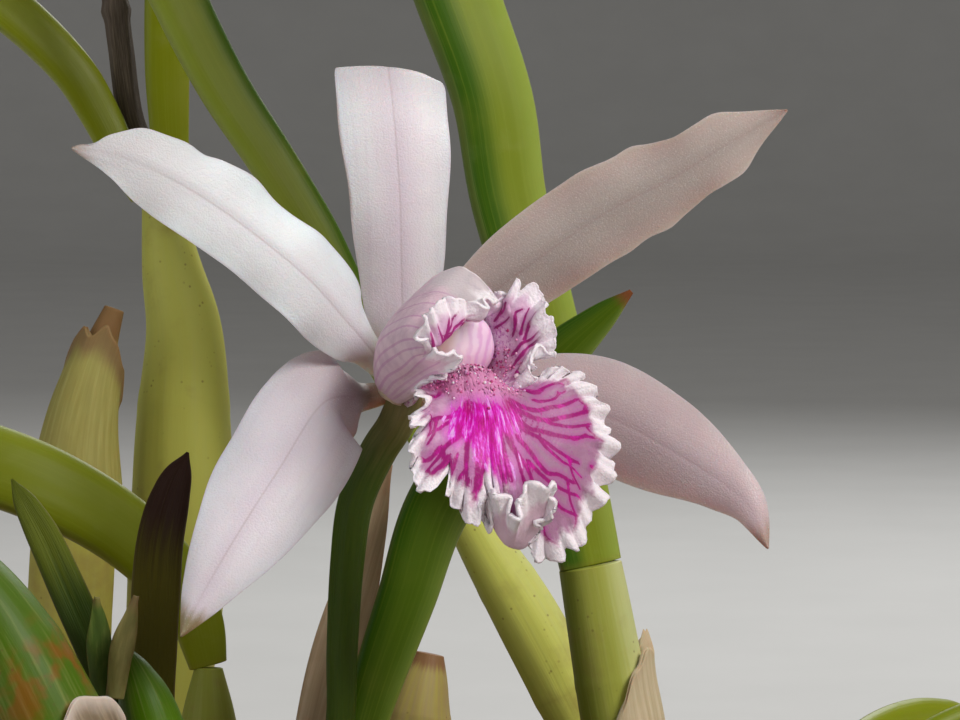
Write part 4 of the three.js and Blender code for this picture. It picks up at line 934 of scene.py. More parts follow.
BRACTS = {
    "bract_tan": {"width": 3.1, "paper": "tan_paper", "points": [
        [-2.7, -8, 79], [-1, -5.4, 87], [1.2, -3.9, 95], [2.7, -3.7, 100.6],
    ]},
    "bract_new_left": {"width": 1.3, "paper": "green_scale", "points": [
        [-13.6, -12.9, 88.2], [-13.7, -12.8, 91], [-13.8, -12.9, 93.9],
    ]},
    "bract_new_right": {"width": 1.2, "paper": "brown_scale", "points": [
        [-12.6, -15, 88.4], [-12.2, -14.8, 91.2], [-11.4, -14.6, 94.2],
    ]},
}
for name, bract in BRACTS.items():
    down, over = np.linspace(0, 1, 60)[:, None], np.linspace(-1, 1, 24)[None, :]
    half = bract["width"] / 2 * along([[0, 0.7], [0.5, 1], [0.8, 0.6], [1, 0.05]], down)
    cup = -0.35 * over**2 * (1 - down * 0.7) + 0.06 * np.sin(down * 11 + over * 3) * over
    middle = carried(course(bract["points"], 60), half * over, cup, (0.2, -1, 0.1))
    sheet = thin_sheet(name + "_paper", middle, 0.26, run=down, across_mm=half * over, distance=down * 12)
    dress(sheet, PAPERS[bract["paper"]], name, slot="dry_paper")

# Flower stalk
# A slim green stalk that thickens into the ovary behind the flower. The ovary has six shallow ribs and
# a bronze flush.
STALK = [[-0.7, -11.3, 82.7], [0, -11.1, 86.4], [0.1, -10.7, 90.5], [0.4, -10, 95.7], [0.9, -9.6, 99.1],
         [2.2, -9.7, 102], [3.2, -10.2, 103.6], [3.8, -10.7, 105.3], [3.9, -10.8, 106.3]]
stalk_skin = Finish("flower_stalk", roughness=0.45, subsurface_weight=0.15, subsurface_scale=0.0006,
                    specular_ior_level=0.2)
fine = stalk_skin.fibres(5, 0.2, 1.6)
flush = (stalk_skin.field("run") + fine * 0.2).rise(0.8, 1.1)
stalk_skin.give("Base Color", stalk_skin.layers(
    stalk_skin.mix(fine, (46, 68, 0), (70, 90, 8)),
    (flush * 0.75, (140, 124, 84)),
))
stalk_skin.give("Roughness", 0.38 + fine * 0.15)
stalk_skin.relief(fine, 0.12, 0.6)


def ovary_ribs(run, angle):
    """Six ribs that rise on the ovary and wind a little round it."""
    return 0.07 * np.cos(6 * angle + 3 * run) * np.clip(run * 3 - 1.4, 0, 1)


flower_stalk = stem("flower_stalk", STALK, 1.06, [[0, 0.75], [0.3, 0.85], [0.75, 1], [0.93, 1], [1, 0.85]],
                    130, 42, ovary_ribs)
dress(flower_stalk, stalk_skin, "pedicel", slot="young_green")

# Sepals and petals
# Five firm white blades with a mauve breath and a fine darker midvein, crystalline all over with tiny
# domed cells that catch the light. The upper sepal is rolled back at its tip.
EDGE_THICKNESS = 0.1
MIDVEIN_DEPTH = 0.035


def tepal_blade(name, points, width, table, facing, cup, wave):
    """A petal: an edge-rounded blade about a curved midline. Across it, from -1 to 1, it is curled by the
    cup times the square of the place, moved by the wave, and cut by a narrow bell along the midvein."""
    rows, ring = 190, 100
    run, angle = np.linspace(0, 1, rows)[:, None], circle(ring)[None, :]
    over, face = np.cos(angle), np.sin(angle)
    line = course(np.asarray(points, dtype=float) + FLOWER, rows)
    hint = read_off(run[:, 0], [place for place, _ in facing], [direction for _, direction in facing])
    half = np.maximum(width / 2 * along(table, run), 0.02)
    edge_wave, lift_wave = wave(run, over)
    across = over * half + np.sign(over) * np.abs(over) ** 3 * edge_wave
    body = EDGE_THICKNESS + 0.34 * (1 - over**2) * np.sin(np.pi * np.clip(run, 0.03, 0.97)) ** 0.4
    groove = -MIDVEIN_DEPTH * np.exp(-((over * half / 0.16) ** 2)) * np.clip(face, 0, 1) * (1 - run**4)
    cup_here = np.interp(run, [place for place, _ in cup], [rise for _, rise in cup])
    toward = cup_here * over**2 + lift_wave + face * body / 2 + groove
    return skin(name, carried(line, across, toward, hint), run=run, across=over, across_mm=across,
                distance=run * 20)


def bump_at(run, *bells):
    """A sum of bells along the run, each with its middle, width and height."""
    return sum(height * np.exp(-((run - middle) / width) ** 2) for middle, width, height in bells)


# Each wave gives how far it moves the blade's edge outward, and how far it lifts the blade, in millimetres
def wave_petal_left(run, over):
    edge = bump_at(run, (0.4, 0.04, 0.1), (0.6, 0.05, 0.22), (0.72, 0.03, -0.22), (0.87, 0.04, 0.3),
                   (0.955, 0.02, -0.3))
    lift = 0.16 * np.sin(run * 21 + 1) * over**2 * np.sin(np.pi * run) + 0.1 * np.sin(run * 34) * over**3
    return edge * np.clip(over, 0, 1), lift


def wave_petal_right(run, over):
    edge = bump_at(run, (0.55, 0.04, 0.12), (0.66, 0.035, 0.24), (0.76, 0.03, -0.12), (0.86, 0.04, 0.28))
    lift = 0.18 * np.sin(run * 23 + 2) * over**2 * np.sin(np.pi * run)
    lift = lift + 0.12 * np.sin(run * 31 + over) * over
    return edge * np.abs(over), lift


def wave_dorsal(run, over):
    lift = -0.45 * over * np.exp(-((run - 0.74) / 0.13) ** 2) + 0.12 * np.sin(run * 15) * over**2
    past_bend = (0.5 + 0.5 * np.tanh((run - 0.775) / 0.03)) * np.clip((1 - run) / 0.12, 0, 1)
    return 0.05 * np.sin(run * 25 + over) - 0.9 * past_bend * np.clip(over, 0, 1), lift


def wave_sepal(run, over):
    lift = 0.1 * np.sin(run * 17 + 2 * over) * over**2 * np.sin(np.pi * run)
    return 0.05 * np.sin(run * 22 + over) * np.sin(np.pi * run), lift


TEPALS = {
    "petal_left": {
        "width": 4.85, "wave": wave_petal_left,
        "points": [[-0.8, 0.9, 0.9], [-1.5, 0.7, 1.7], [-2.9, -2, 3.6], [-5, -4.2, 6.2],
            [-7.7, -5.6, 8.6], [-10.6, -6.9, 10.8], [-13.3, -8, 12.4], [-15.7, -8.5, 13.3],
            [-17.7, -8.7, 13.6]],
        "table": [[0, 0.3], [0.05, 0.4], [0.16, 0.78], [0.31, 1], [0.52, 0.97], [0.69, 1], [0.81, 0.86],
            [0.9, 0.52], [0.96, 0.24], [1, 0.02]],
        "facing": [(0, (0.35, -0.9, 0.2)), (1, (-0.05, -1, 0.25))],
        "cup": [(0, -0.5), (0.5, -0.35), (1, 0.1)],
    },
    "petal_right": {
        "width": 5.3, "wave": wave_petal_right,
        "points": [[0.9, 0.9, 0.8], [1.9, 0.7, 1.7], [4, -0.2, 4.2], [8.3, -0.9, 7.6], [12, -1.3, 10.1],
            [15.3, -1.6, 11.8], [18.2, -1.7, 13.6], [21.9, -1.3, 15.7]],
        "table": [[0, 0.26], [0.05, 0.34], [0.16, 0.66], [0.35, 0.98], [0.53, 1], [0.69, 0.86],
            [0.81, 0.72], [0.9, 0.46], [0.96, 0.22], [1, 0.02]],
        "facing": [(0, (0.1, -0.97, -0.05)), (1, (0.05, -0.97, -0.2))],
        "cup": [(0, -0.5), (0.5, -0.3), (1, 0.1)],
    },
    "sepal_dorsal": {
        "width": 6.3, "wave": wave_dorsal,
        "points": [[0.3, 1.9, 0.6], [0.3, 2, 1.9], [0.1, 1.3, 4.8], [0, 0.5, 10.6], [-0.4, 1.4, 15.7],
            [-0.7, 3.5, 17.9], [-0.6, 5.8, 17.5], [-0.4, 7.7, 15.5]],
        "table": [[0, 0.3], [0.06, 0.45], [0.17, 0.7], [0.36, 0.86], [0.6, 1], [0.77, 1], [0.9, 0.66],
            [0.97, 0.3], [1, 0.02]],
        "facing": [(0, (0.12, -1, 0)), (0.58, (0.12, -1, 0)), (0.76, (-0.05, -0.3, 1)),
            (1, (0.1, 0.9, 0.6))],
        "cup": [(0, -0.5), (0.5, -0.4), (1, 0.1)],
    },
    "sepal_left": {
        "width": 6.9, "wave": wave_sepal,
        "points": [[-0.7, 1.3, -0.5], [-1.7, 1.1, -0.7], [-2.6, -0.8, -0.6], [-4.2, -2.7, -0.8],
            [-6.6, -4.9, -4.3], [-9.1, -6.8, -8.2], [-10.9, -7.4, -11.3], [-12, -7.5, -13.4]],
        "table": [[0, 0.18], [0.06, 0.24], [0.13, 0.5], [0.24, 0.92], [0.48, 1], [0.71, 0.74],
            [0.88, 0.38], [0.95, 0.18], [1, 0.02]],
        "facing": [(0, (0.25, -0.95, 0.1)), (0.3, (0, -1, 0.3)), (1, (-0.1, -1, 0.15))],
        "cup": [(0, -0.4), (0.5, -0.9), (1, -0.1)],
    },
    "sepal_right": {
        "width": 6.4, "wave": wave_sepal,
        "points": [[1, 1.4, -0.6], [2.2, 1.2, -0.9], [5.7, 0.3, -0.9], [11.5, -1.1, -1.6],
            [15.8, -3.1, -3.7], [18.1, -4.2, -5.1], [19.6, -4.8, -6.4], [20.7, -5, -8.8]],
        "table": [[0, 0.2], [0.05, 0.26], [0.14, 0.54], [0.31, 0.92], [0.46, 1], [0.62, 0.88],
            [0.8, 0.54], [0.92, 0.26], [0.97, 0.12], [1, 0.02]],
        "facing": [(0, (0.2, -0.95, 0.2)), (0.5, (0.1, -1, 0.05)), (1, (0.15, -1, -0.2))],
        "cup": [(0, -0.4), (0.5, -0.8), (1, -0.1)],
    },
}


def tepal_finish(name, pale, band, band_width, painted_foot_shadow, painted_outer_shade, tip, tip_from, brown_edge):
    """White crystalline flesh: faint lengthwise veins, a thin midvein, fine domed cells and sparkles.

    The band tints the middle as far as band_width from it. The foot shadow is painted shadow that darkens
    the foot, where the lip and the other blades shade it, and the outer shade is painted shade that greys
    the outer half. The tip has its own tone from tip_from on. Brown_edge is the strength of a strip of dead
    tissue on the left edge.
    """
    flesh = Finish(name, roughness=0.42, subsurface_weight=0.25, subsurface_scale=0.0012,
                   specular_ior_level=0.5)
    here = flesh.place()
    over, run, across_mm = flesh.field("across"), flesh.field("run"), flesh.field("across_mm")
    lengthwise = flesh.vector(across_mm * 2.2, 0, flesh.field("distance") * 0.16)
    veins = flesh.noise(lengthwise, 1.4, detail=4, roughness=0.5)
    soft = flesh.noise(here, 0.28, detail=4)
    grid = flesh.node("ShaderNodeVectorMath", {"operation": "FLOOR"}, {0: flesh.place(stretch=(22, 22, 22))})
    sparkle = flesh.node("ShaderNodeTexWhiteNoise", {}, {0: grid})
    midvein = across_mm.size().rise(0.09, 0.02) * run.rise(1, 0.7)
    dead = (over + soft * 0.1).rise(-0.9, -0.96) * run.rise(0.35, 0.45) * run.rise(0.74, 0.66)
    flesh.give("Base Color", flesh.layers(
        flesh.mix(soft.rise(0.35, 0.7) * 0.35, pale, band),
        (veins.rise(0.5, 0.72) * 0.2, band),
        ((over.size() + soft * 0.2).rise(band_width, 0.05) * 0.6, band),
        (midvein * 0.24, (150, 124, 122)),
        # Painted shade: the outer half greyed as if it lies in shade.
        (run.rise(0.55, 0.95) * painted_outer_shade, (150, 146, 146)),
        ((over.size() + veins * 0.06).rise(0.965, 1.02) * 0.25, (196, 160, 176)),
        (dead * brown_edge, (128, 92, 74)),
        ((run + veins * 0.05).rise(tip_from, tip_from + 0.06) * 0.9, tip),
        # Painted shadow on the foot, where the lip and the other blades shade it.
        (run.rise(0.42, 0.08) * painted_foot_shadow, (128, 108, 112)),
        (run.rise(0.12, 0) * 0.5, (176, 168, 122)),
        # Painted glints: tiny white specks in the colour where the sparkle cells catch the light.
        ((sparkle > 0.96) * 0.2, (250, 246, 250)),
    ))
    flesh.give("Roughness", 0.5 - (sparkle > 0.97) * 0.3)
    flesh.relief(flesh.cells(here, 9) * -0.6 + veins * 0.6 + (sparkle > 0.97) * 0.6, 0.04, 0.7)
    return flesh


# The pale tone, the band's tone and width, the painted foot shadow, the painted outer shade,
# the tip's tone and start, and the brown edge
FINISHES = {
    "petal_left": ((232, 234, 238), (212, 210, 215), 0.4, 0.1, 0.55, (150, 140, 132), 0.965, 0),
    # The right petal's greyer tones are painted shade on the same white flesh as the left petal.
    "petal_right": ((172, 162, 156), (158, 146, 140), 0.5, 0, 0, (160, 145, 138), 0.965, 0),
    "sepal_dorsal": ((224, 219, 223), (202, 187, 200), 0.7, 0, 0.4, (140, 122, 96), 0.97, 0.6),
    "sepal_left": ((221, 215, 222), (205, 192, 204), 0.5, 0.85, 0, (128, 120, 72), 0.925, 0),
    "sepal_right": ((190, 173, 176), (178, 158, 166), 0.6, 0.1, 0, (157, 133, 120), 0.945, 0),
}
for name, tepal in TEPALS.items():
    finish = tepal_finish(name, *FINISHES[name])
    dress(tepal_blade(name + "_flesh", **tepal), finish, name, slot="tepal_white")

# Lip
# The third petal, rolled into a tube round the column and spread in front: two side lobes with rolled
# white frills, and a hanging middle lobe. Magenta veins fork from its solid centre toward a crisped margin.
# Each ray starts on a small ring at the turn given and runs out through stations to the margin.
LIP_RING_CENTRE = np.array([-0.07, 0.39, -0.09])
LIP_RING_RADIUS = 1.15
LIP_AXIS = unit(np.array([0.5, -0.82, 0.28]))
LIP_SIDE = unit(np.array([0.85, 0.52, 0]))
LIP_UP = np.cross(LIP_SIDE, LIP_AXIS)
SIDE_LOBE_LEFT = [
    [-172, [0.6, 0.2, 3.5], [1.7, -2.2, 5.8], [3.2, -4.5, 6.8], [4.1, -5.9, 6.7], [5, -7, 6.1],
     [5.6, -7.8, 5.6]],
    [-150, [-0.2, -0.4, 2.8], [0.8, -3.5, 5], [2.2, -6.2, 5.9], [3.5, -8, 5.4], [4.4, -8.9, 4.8],
     [4.8, -9.2, 5.2]],
    [-128, [-0.8, -1.1, 2.1], [-0.2, -4.5, 4], [1.3, -7.7, 4.9], [2.6, -9.5, 4.4], [3.3, -10.4, 3.9],
     [3.1, -10.5, 5.5]],
    [-108, [-1.2, -1.5, 1.4], [-0.8, -5, 3], [0.4, -8.3, 3.9], [1.6, -10, 3.6], [2.4, -10.9, 3.2],
     [1.6, -11.2, 4.9]],
    [-90, [-1.2, -1.8, 0.7], [-0.8, -5.3, 2], [0.2, -8.4, 2.8], [1.1, -10, 2.8], [1.8, -11, 2.9],
     [1.4, -11.6, 3.8]],
    [-74, [-1, -1.7, 0.1], [-0.5, -4.9, 1.1], [0.4, -7.7, 1.7], [1.1, -9.5, 2.1], [1.7, -10.7, 2.4],
     [2, -11.3, 2.8]],
    [-60, [-0.6, -1.5, -0.3], [0, -4.5, 0.4], [0.8, -6.9, 1], [1.7, -8.9, 1.5], [2.6, -10.5, 1.9],
     [3.5, -11.3, 2.2]],
    [-48, [-0.4, -1.4, -0.5], [0.4, -4.2, 0], [1, -6.4, 0.4], [1.5, -7.9, 0.8], [1.9, -9, 1],
     [2.2, -9.5, 1.2]],
    [-38, [-0.1, -1.4, -0.6], [0.7, -4, -0.2], [1, -6.2, 0.1], [1.2, -7.4, 0.3], [1.3, -8.3, 0.5],
     [1.3, -8.8, 0.6]],
]
MIDDLE_LOBE = [
    [-30, [1.8, -7.4, 0.1], [1.6, -9.2, 0.1], [1.3, -10, 0.1], [1, -10.2, 0]],
    [-24, [2.4, -8, 0.1], [1.8, -10.1, -0.5], [1.2, -11, -0.9], [0.8, -11.3, -1]],
    [-19, [2.8, -8.4, 0], [2.1, -10.9, -1.3], [1.2, -11.7, -2.4], [0.8, -11.9, -3]],
    [-14, [3.2, -8.8, 0], [2.5, -11.4, -2.1], [1.6, -12.1, -3.9], [1.2, -12.3, -4.7]],
    [-9, [3.6, -9, 0], [3.1, -11.7, -2.4], [2.6, -12.3, -4.2], [2.3, -12.5, -4.9]],
    [-5, [3.9, -9.1, 0], [3.7, -11.8, -2.7], [3.4, -12.3, -5], [3.2, -12.2, -5.7]],
    [-1, [4.2, -9.2, 0.1], [4.4, -11.9, -3], [4.5, -12.1, -5.6], [4.6, -11.8, -6.6]],
    [3, [4.6, -9.3, 0.1], [5.1, -11.9, -3.7], [5.7, -10.9, -7.5], [5.4, -12.7, -4.7]],
    [7, [4.8, -9.3, 0.1], [5.6, -11.9, -3.9], [6.2, -10.5, -8], [6.3, -12.6, -6.1]],
    [11, [5.1, -9.3, 0.1], [6.1, -11.8, -4], [6.9, -10.3, -8.1], [7.4, -12.9, -4.7]],
    [15, [5.4, -9.3, 0.1], [6.6, -11.6, -3.9], [7.5, -10.2, -7.5], [8.7, -12.3, -4.5]],
    [18, [5.6, -9.2, 0.1], [7, -11.3, -3.6], [7.6, -10.7, -6.4], [7.9, -11.5, -6.6]],
    [21, [5.8, -9.1, 0.1], [7.3, -11, -3.5], [7.6, -10.3, -7.1], [7.3, -10, -8.4]],
    [24, [6, -9, 0.1], [7.7, -10.7, -3.4], [8.3, -9.9, -7.3], [8.7, -9.5, -8.9]],
    [27, [6.3, -8.9, 0.1], [8.2, -10.2, -3.1], [9.6, -9.3, -6.3], [10.2, -8.8, -7.7]],
    [30, [6.4, -8.8, 0.1], [8.6, -9.8, -2.7], [10.2, -8.7, -5.1], [11, -8.1, -6.2]],
    [33, [6.6, -8.6, 0.1], [9, -9.4, -2.2], [10.9, -8.1, -3.9], [11.7, -7.4, -4.6]],
    [35, [6.7, -8.4, 0.2], [9.2, -8.9, -1.5], [11.1, -7.6, -2.3], [11.9, -6.9, -2.7]],
    [37, [6.8, -8.2, 0.2], [9.1, -8.6, -0.7], [10.6, -7.3, -0.8], [11.4, -6.6, -0.9]],
    [38.5, [6.8, -8.1, 0.2], [8.7, -8.3, -0.1], [10, -7.2, 0.1], [10.7, -6.7, 0.1]],
    [40, [6.7, -8, 0.3], [8.2, -8.1, 0.4], [9.3, -7.3, 1], [9.9, -6.9, 1.3]],
    [41.5, [6.6, -7.8, 0.3], [7.5, -7.9, 0.5], [8.2, -7.5, 1], [8.5, -7.3, 1.4]],
    [43, [6.1, -7.6, 0.3], [6.8, -7.8, 0.5], [7.3, -7.8, 0.8], [7.5, -7.7, 1]],
]
SIDE_LOBE_RIGHT = [
    [52, [2.7, -2, -0.4], [4.4, -4.6, 0.1], [6.2, -7.2, 0.6], [6.7, -7.4, 1.1], [7.1, -7.7, 1.5],
     [7.3, -7.8, 1.8]],
    [62, [2.7, -1.8, -0.1], [4.5, -4.3, 0.4], [6.3, -6.8, 1], [7, -7.2, 1.6], [7.7, -7.6, 2.1],
     [8, -7.8, 2.4]],
    [74, [2.8, -1.6, 0.2], [4.6, -4.1, 0.8], [6.4, -6.5, 1.5], [7.3, -6.9, 1.9], [8.2, -7.4, 2.1],
     [8.8, -7.5, 2.2]],
    [90, [2.8, -1.4, 0.7], [4.6, -3.8, 1.5], [6.4, -6.2, 2.3], [7.3, -6.6, 2.8], [8.2, -6.8, 3.3],
     [8.7, -6.8, 3.6]],
    [108, [2.7, -1.3, 1.3], [4.5, -3.5, 2.2], [6.3, -5.8, 3.1], [7, -6.2, 3.9], [7.8, -6.2, 4.6],
     [8.3, -6.1, 5]],
    [128, [2.4, -1.2, 1.8], [4.3, -3.4, 2.8], [6.1, -5.6, 3.8], [6.5, -5.9, 4.7], [7.2, -5.7, 5.6],
     [7.5, -5.6, 6]],
    [150, [2.1, -1.2, 2.2], [3.9, -3.2, 3.3], [5.7, -5.3, 4.3], [6, -5.7, 5.1], [6.3, -5.5, 5.6],
     [6.6, -5.4, 5.8]],
    [170, [1.7, -1.2, 2.4], [3.4, -3.1, 3.6], [5.2, -5.1, 4.7], [5.4, -5.4, 5.1], [5.6, -5.4, 5.3],
     [5.7, -5.4, 5.4]],
]
STATIONS = np.array([0, 0.15, 0.3, 0.45, 0.65, 0.85, 1])


def lip_net():
    """The control net (rays, stations, 3): the ring point first. A middle ray's two inner stations lie a
    third and two thirds of the way from the ring to its first station, sunk a little into a channel."""
    net = []
    for turn, *stations in SIDE_LOBE_LEFT + MIDDLE_LOBE + SIDE_LOBE_RIGHT:
        angle = math.radians(turn)
        ring = LIP_RING_CENTRE + LIP_RING_RADIUS * (math.sin(angle) * LIP_SIDE - math.cos(angle) * LIP_UP)
        if len(stations) == 4:
            step = np.array(stations[0]) - ring
            sink = math.cos(angle) * LIP_UP
            stations = [ring + 0.34 * step - 0.15 * sink, ring + 0.67 * step - 0.12 * sink] + stations
        net.append([ring] + stations)
    return np.array([[np.asarray(point, dtype=float) for point in ray] for ray in net])


def eased(values, knots, places):
    """A smooth curve through the values at the knots, along axis 0: cubic Hermite pieces, mean slopes."""
    shape = (-1,) + (1,) * (values.ndim - 1)
    gaps = np.diff(knots)
    slopes = np.diff(values, axis=0) / gaps.reshape(shape)
    weight = (gaps[1:] / (gaps[1:] + gaps[:-1])).reshape(shape)
    middle = slopes[:-1] * weight + slopes[1:] * (1 - weight)
    tangent = np.concatenate([slopes[:1], middle, slopes[-1:]])
    piece = np.clip(np.searchsorted(knots, places, side="right") - 1, 0, len(knots) - 2)
    gap = gaps[piece].reshape(shape)
    s = ((places - knots[piece]) / gaps[piece]).reshape(shape)
    out = (2 * s**3 - 3 * s**2 + 1) * values[piece] + (s**3 - 2 * s**2 + s) * gap * tangent[piece]
    return out + (3 * s**2 - 2 * s**3) * values[piece + 1] + (s**3 - s**2) * gap * tangent[piece + 1]


# The grid's columns lie in even steps along the margin, and its inner rows a little wider than the others
COLUMNS = 510
ROWS = 72
INNER_ROWS = 17
net = lip_net()
knots = np.arange(len(net))
fine_rays = np.linspace(0, len(net) - 1, 2000)
margin_line, inner_line = eased(net[:, -1], knots, fine_rays), eased(net[:, 3], knots, fine_rays)
pace = np.linalg.norm(np.diff(margin_line, axis=0), axis=1)
pace = pace + 0.6 * np.linalg.norm(np.diff(inner_line, axis=0), axis=1)
travelled = np.concatenate([[0], np.cumsum(pace + 0.004)])
ray = np.interp(np.linspace(0, travelled[-1], COLUMNS), travelled, fine_rays)
out = np.concatenate([np.linspace(0, 0.3, INNER_ROWS + 1)[:-1], np.linspace(0.3, 1, ROWS - INNER_ROWS)])
lip_middle = np.swapaxes(eased(np.swapaxes(eased(net, knots, ray), 0, 1), STATIONS, out), 0, 1)

# Its margin is ruffled, scalloped and cut in, less at the two bays between the lobes
ray_grid, out_grid = ray[:, None] * np.ones(ROWS), out[None, :] * np.ones((COLUMNS, 1))
down, over = np.gradient(lip_middle, axis=0), np.gradient(lip_middle, axis=1)
lip_normal = unit(np.cross(over, down))
outward = unit(over)
edge_mm = np.linalg.norm(lip_middle - lip_middle[:, -1:], axis=-1)
width_mm = reach_along(lip_middle[:, -1])[:, None]
bays = np.exp(-((ray_grid - 8) / 1.2) ** 2) + np.exp(-((ray_grid - 31) / 1) ** 2)
calm = 1 - 0.7 * np.clip(bays, 0, 1)
ruffle = 0.34 * np.sin(width_mm * 2.7 + 2 * np.sin(width_mm * 0.7)) + 0.08 * np.sin(width_mm * 10.3) + 0.12
ruffle = ruffle + 0.2 * np.sin(width_mm * 5.7 + 1.3 + 1.5 * np.sin(width_mm * 1.1))
scallop = 0.22 * np.abs(np.sin(width_mm * 1.9 + np.sin(width_mm * 0.8)))
scallop = scallop + 0.14 * np.abs(np.sin(width_mm * 4.3)) - 0.2
NOTCHES = [
    (9.45, 0.2, 0.9), (10.5, 0.2, 0.7), (11.05, 0.14, 0.3), (13.05, 0.24, 1.3), (13.6, 0.16, 0.5),
    (15.3, 0.3, 1.1), (20.4, 0.2, 0.5), (22.4, 0.15, 0.35), (23.4, 0.15, 0.3), (24.7, 0.15, 0.35),
    (26.2, 0.2, 0.5), (27.4, 0.16, 0.5), (28.4, 0.14, 0.4), (32.5, 0.2, 0.4), (34.2, 0.25, 0.35),
    (35.6, 0.2, 0.3), (37.3, 0.2, 0.5),
]
cut_in = sum(depth * np.exp(-(((ray_grid - place) / width) ** 4)) for place, width, depth in NOTCHES)
for reach, amount, direction in [(1.2, ruffle * calm, lip_normal), (0.8, scallop * calm, outward),
                                 (1.5, -cut_in, outward)]:
    lip_middle = lip_middle + (np.exp(-((edge_mm / reach) ** 2)) * amount)[..., None] * direction


def on_lip(ray_at, out_at, values):
    """Values of the lip's grid at rays and stations, each a weighted mean of the grid points round it."""
    column = np.interp(ray_at, ray, np.arange(COLUMNS))
    row = np.interp(out_at, out, np.arange(ROWS))
    i, j = np.minimum(column.astype(int), COLUMNS - 2), np.minimum(row.astype(int), ROWS - 2)
    s, t = (column - i)[:, None], (row - j)[:, None]
    near = values[i, j] * (1 - t) + values[i, j + 1] * t
    far = values[i + 1, j] * (1 - t) + values[i + 1, j + 1] * t
    return near * (1 - s) + far * s


VEIN_STEPS = 15
RAYS_TO_THE_MARGIN = 12


def vein_fields(veins):
    """For every grid point the nearest vein: its distance in half widths of the vein, and the same distance
    with a sign that tells the vein's sides apart. A half width shrinks to 0.55 of itself at a vein's end."""
    near, across = np.full(ray_grid.shape, 9.0), np.full(ray_grid.shape, 9.0)
    for half, *marks in veins:
        marks = np.array(marks, dtype=float) * [1, RAYS_TO_THE_MARGIN]
        path_ray, path_out = (course(marks, VEIN_STEPS + 1) / [1, RAYS_TO_THE_MARGIN]).T
        path = on_lip(path_ray, path_out, lip_middle)
        part = (ray > path_ray.min() - 1.2) & (ray < path_ray.max() + 1.2)
        points, normals = lip_middle[part], lip_normal[part]
        for step in range(VEIN_STEPS):
            start, along_it = path[step], path[step + 1] - path[step]
            offset = points - start
            share = np.clip(offset @ along_it / (along_it @ along_it), 0, 1)
            gap = offset - share[..., None] * along_it
            width = half * (1 - 0.45 * (step + share) / VEIN_STEPS)
            distance = np.linalg.norm(gap, axis=-1) / width
            sign = np.sign(np.sum(np.cross(along_it, gap) * normals, axis=-1) + 1e-12)
            closer = distance < near[part]
            across[part] = np.where(closer, sign * distance, across[part])
            near[part] = np.where(closer, distance, near[part])
    return near, across


# Each vein of the lip's inner face: its half width in millimetres, then marks of ray and station
RIGHT_VEINS = [
    [0.17, (28.1, 0.47), (28.6, 0.55), (29.2, 0.66), (28.8, 0.82)],
    [0.11, (26, 0.51), (27.3, 0.57), (28.4, 0.7)],
    [0.18, (21.6, 0.48), (22.6, 0.5), (24.8, 0.53), (26.8, 0.59), (27.5, 0.72), (27.6, 0.88)],
    [0.2, (20.8, 0.49), (23, 0.53), (24.9, 0.57), (26.3, 0.63), (26.8, 0.73), (26.9, 0.82)],
    [0.13, (24.9, 0.57), (25.7, 0.63), (26.2, 0.72), (26.4, 0.82)],
    [0.2, (20.4, 0.51), (22.2, 0.56), (23.9, 0.59), (25, 0.64), (25.9, 0.76)],
    [0.17, (21, 0.55), (23.4, 0.61), (24.1, 0.67), (24.6, 0.76)],
    [0.13, (23, 0.6), (23.6, 0.66), (24, 0.72)],
    [0.18, (20, 0.57), (21.6, 0.63), (22.5, 0.69), (23.2, 0.72), (23.8, 0.79)],
    [0.15, (20.7, 0.64), (22.1, 0.69), (22.9, 0.75), (23.6, 0.83)],
    [0.11, (22.4, 0.76), (22.9, 0.84), (23.2, 0.9)], [0.11, (21.2, 0.74), (21.7, 0.82), (21.9, 0.9)],
    [0.1, (20.9, 0.78), (20.8, 0.86), (20.9, 0.92)], [0.1, (24.9, 0.82), (25, 0.9)],
    [0.1, (30.2, 0.6), (30.6, 0.8)],
]
LOWER_VEINS = [
    [0.24, (18.4, 0.5), (18.8, 0.57), (19.8, 0.63), (20.6, 0.69)],
    [0.22, (17.7, 0.5), (17.8, 0.57), (18.2, 0.66)],
    [0.24, (16.9, 0.5), (16.4, 0.59), (16.3, 0.66), (16, 0.71)],
    [0.24, (15.9, 0.5), (15.7, 0.59), (15.4, 0.72)],
    [0.23, (14.9, 0.5), (15.2, 0.6), (15, 0.69), (14.8, 0.82)],
    [0.2, (14.3, 0.53), (14.2, 0.64), (14.4, 0.78)], [0.17, (14.4, 0.76), (14, 0.84), (13.9, 0.9)],
    [0.22, (14.7, 0.82), (14.5, 0.93)], [0.11, (15.1, 0.72), (15.6, 0.82)],
    [0.15, (17, 0.6), (17.4, 0.68), (17.6, 0.76)], [0.13, (19.4, 0.62), (19.3, 0.7)],
]
LEFT_VEINS = [
    [0.2, (10.6, 0.42), (9.9, 0.48), (9.6, 0.56)],
    [0.22, (13.6, 0.49), (12.3, 0.54), (11.1, 0.6), (10.7, 0.66)],
    [0.17, (12.7, 0.54), (11.8, 0.59), (11.3, 0.66)],
    [0.22, (13.6, 0.52), (13.3, 0.6), (12.7, 0.65), (12, 0.71)],
    [0.17, (12.1, 0.69), (11.9, 0.76), (11.5, 0.85)], [0.13, (12.5, 0.67), (12.2, 0.77), (12, 0.84)],
    [0.17, (12.9, 0.74), (12.5, 0.8), (12.3, 0.9)], [0.1, (10.9, 0.62), (10.4, 0.72)],
    [0.1, (13.5, 0.68), (13.3, 0.82)],
]
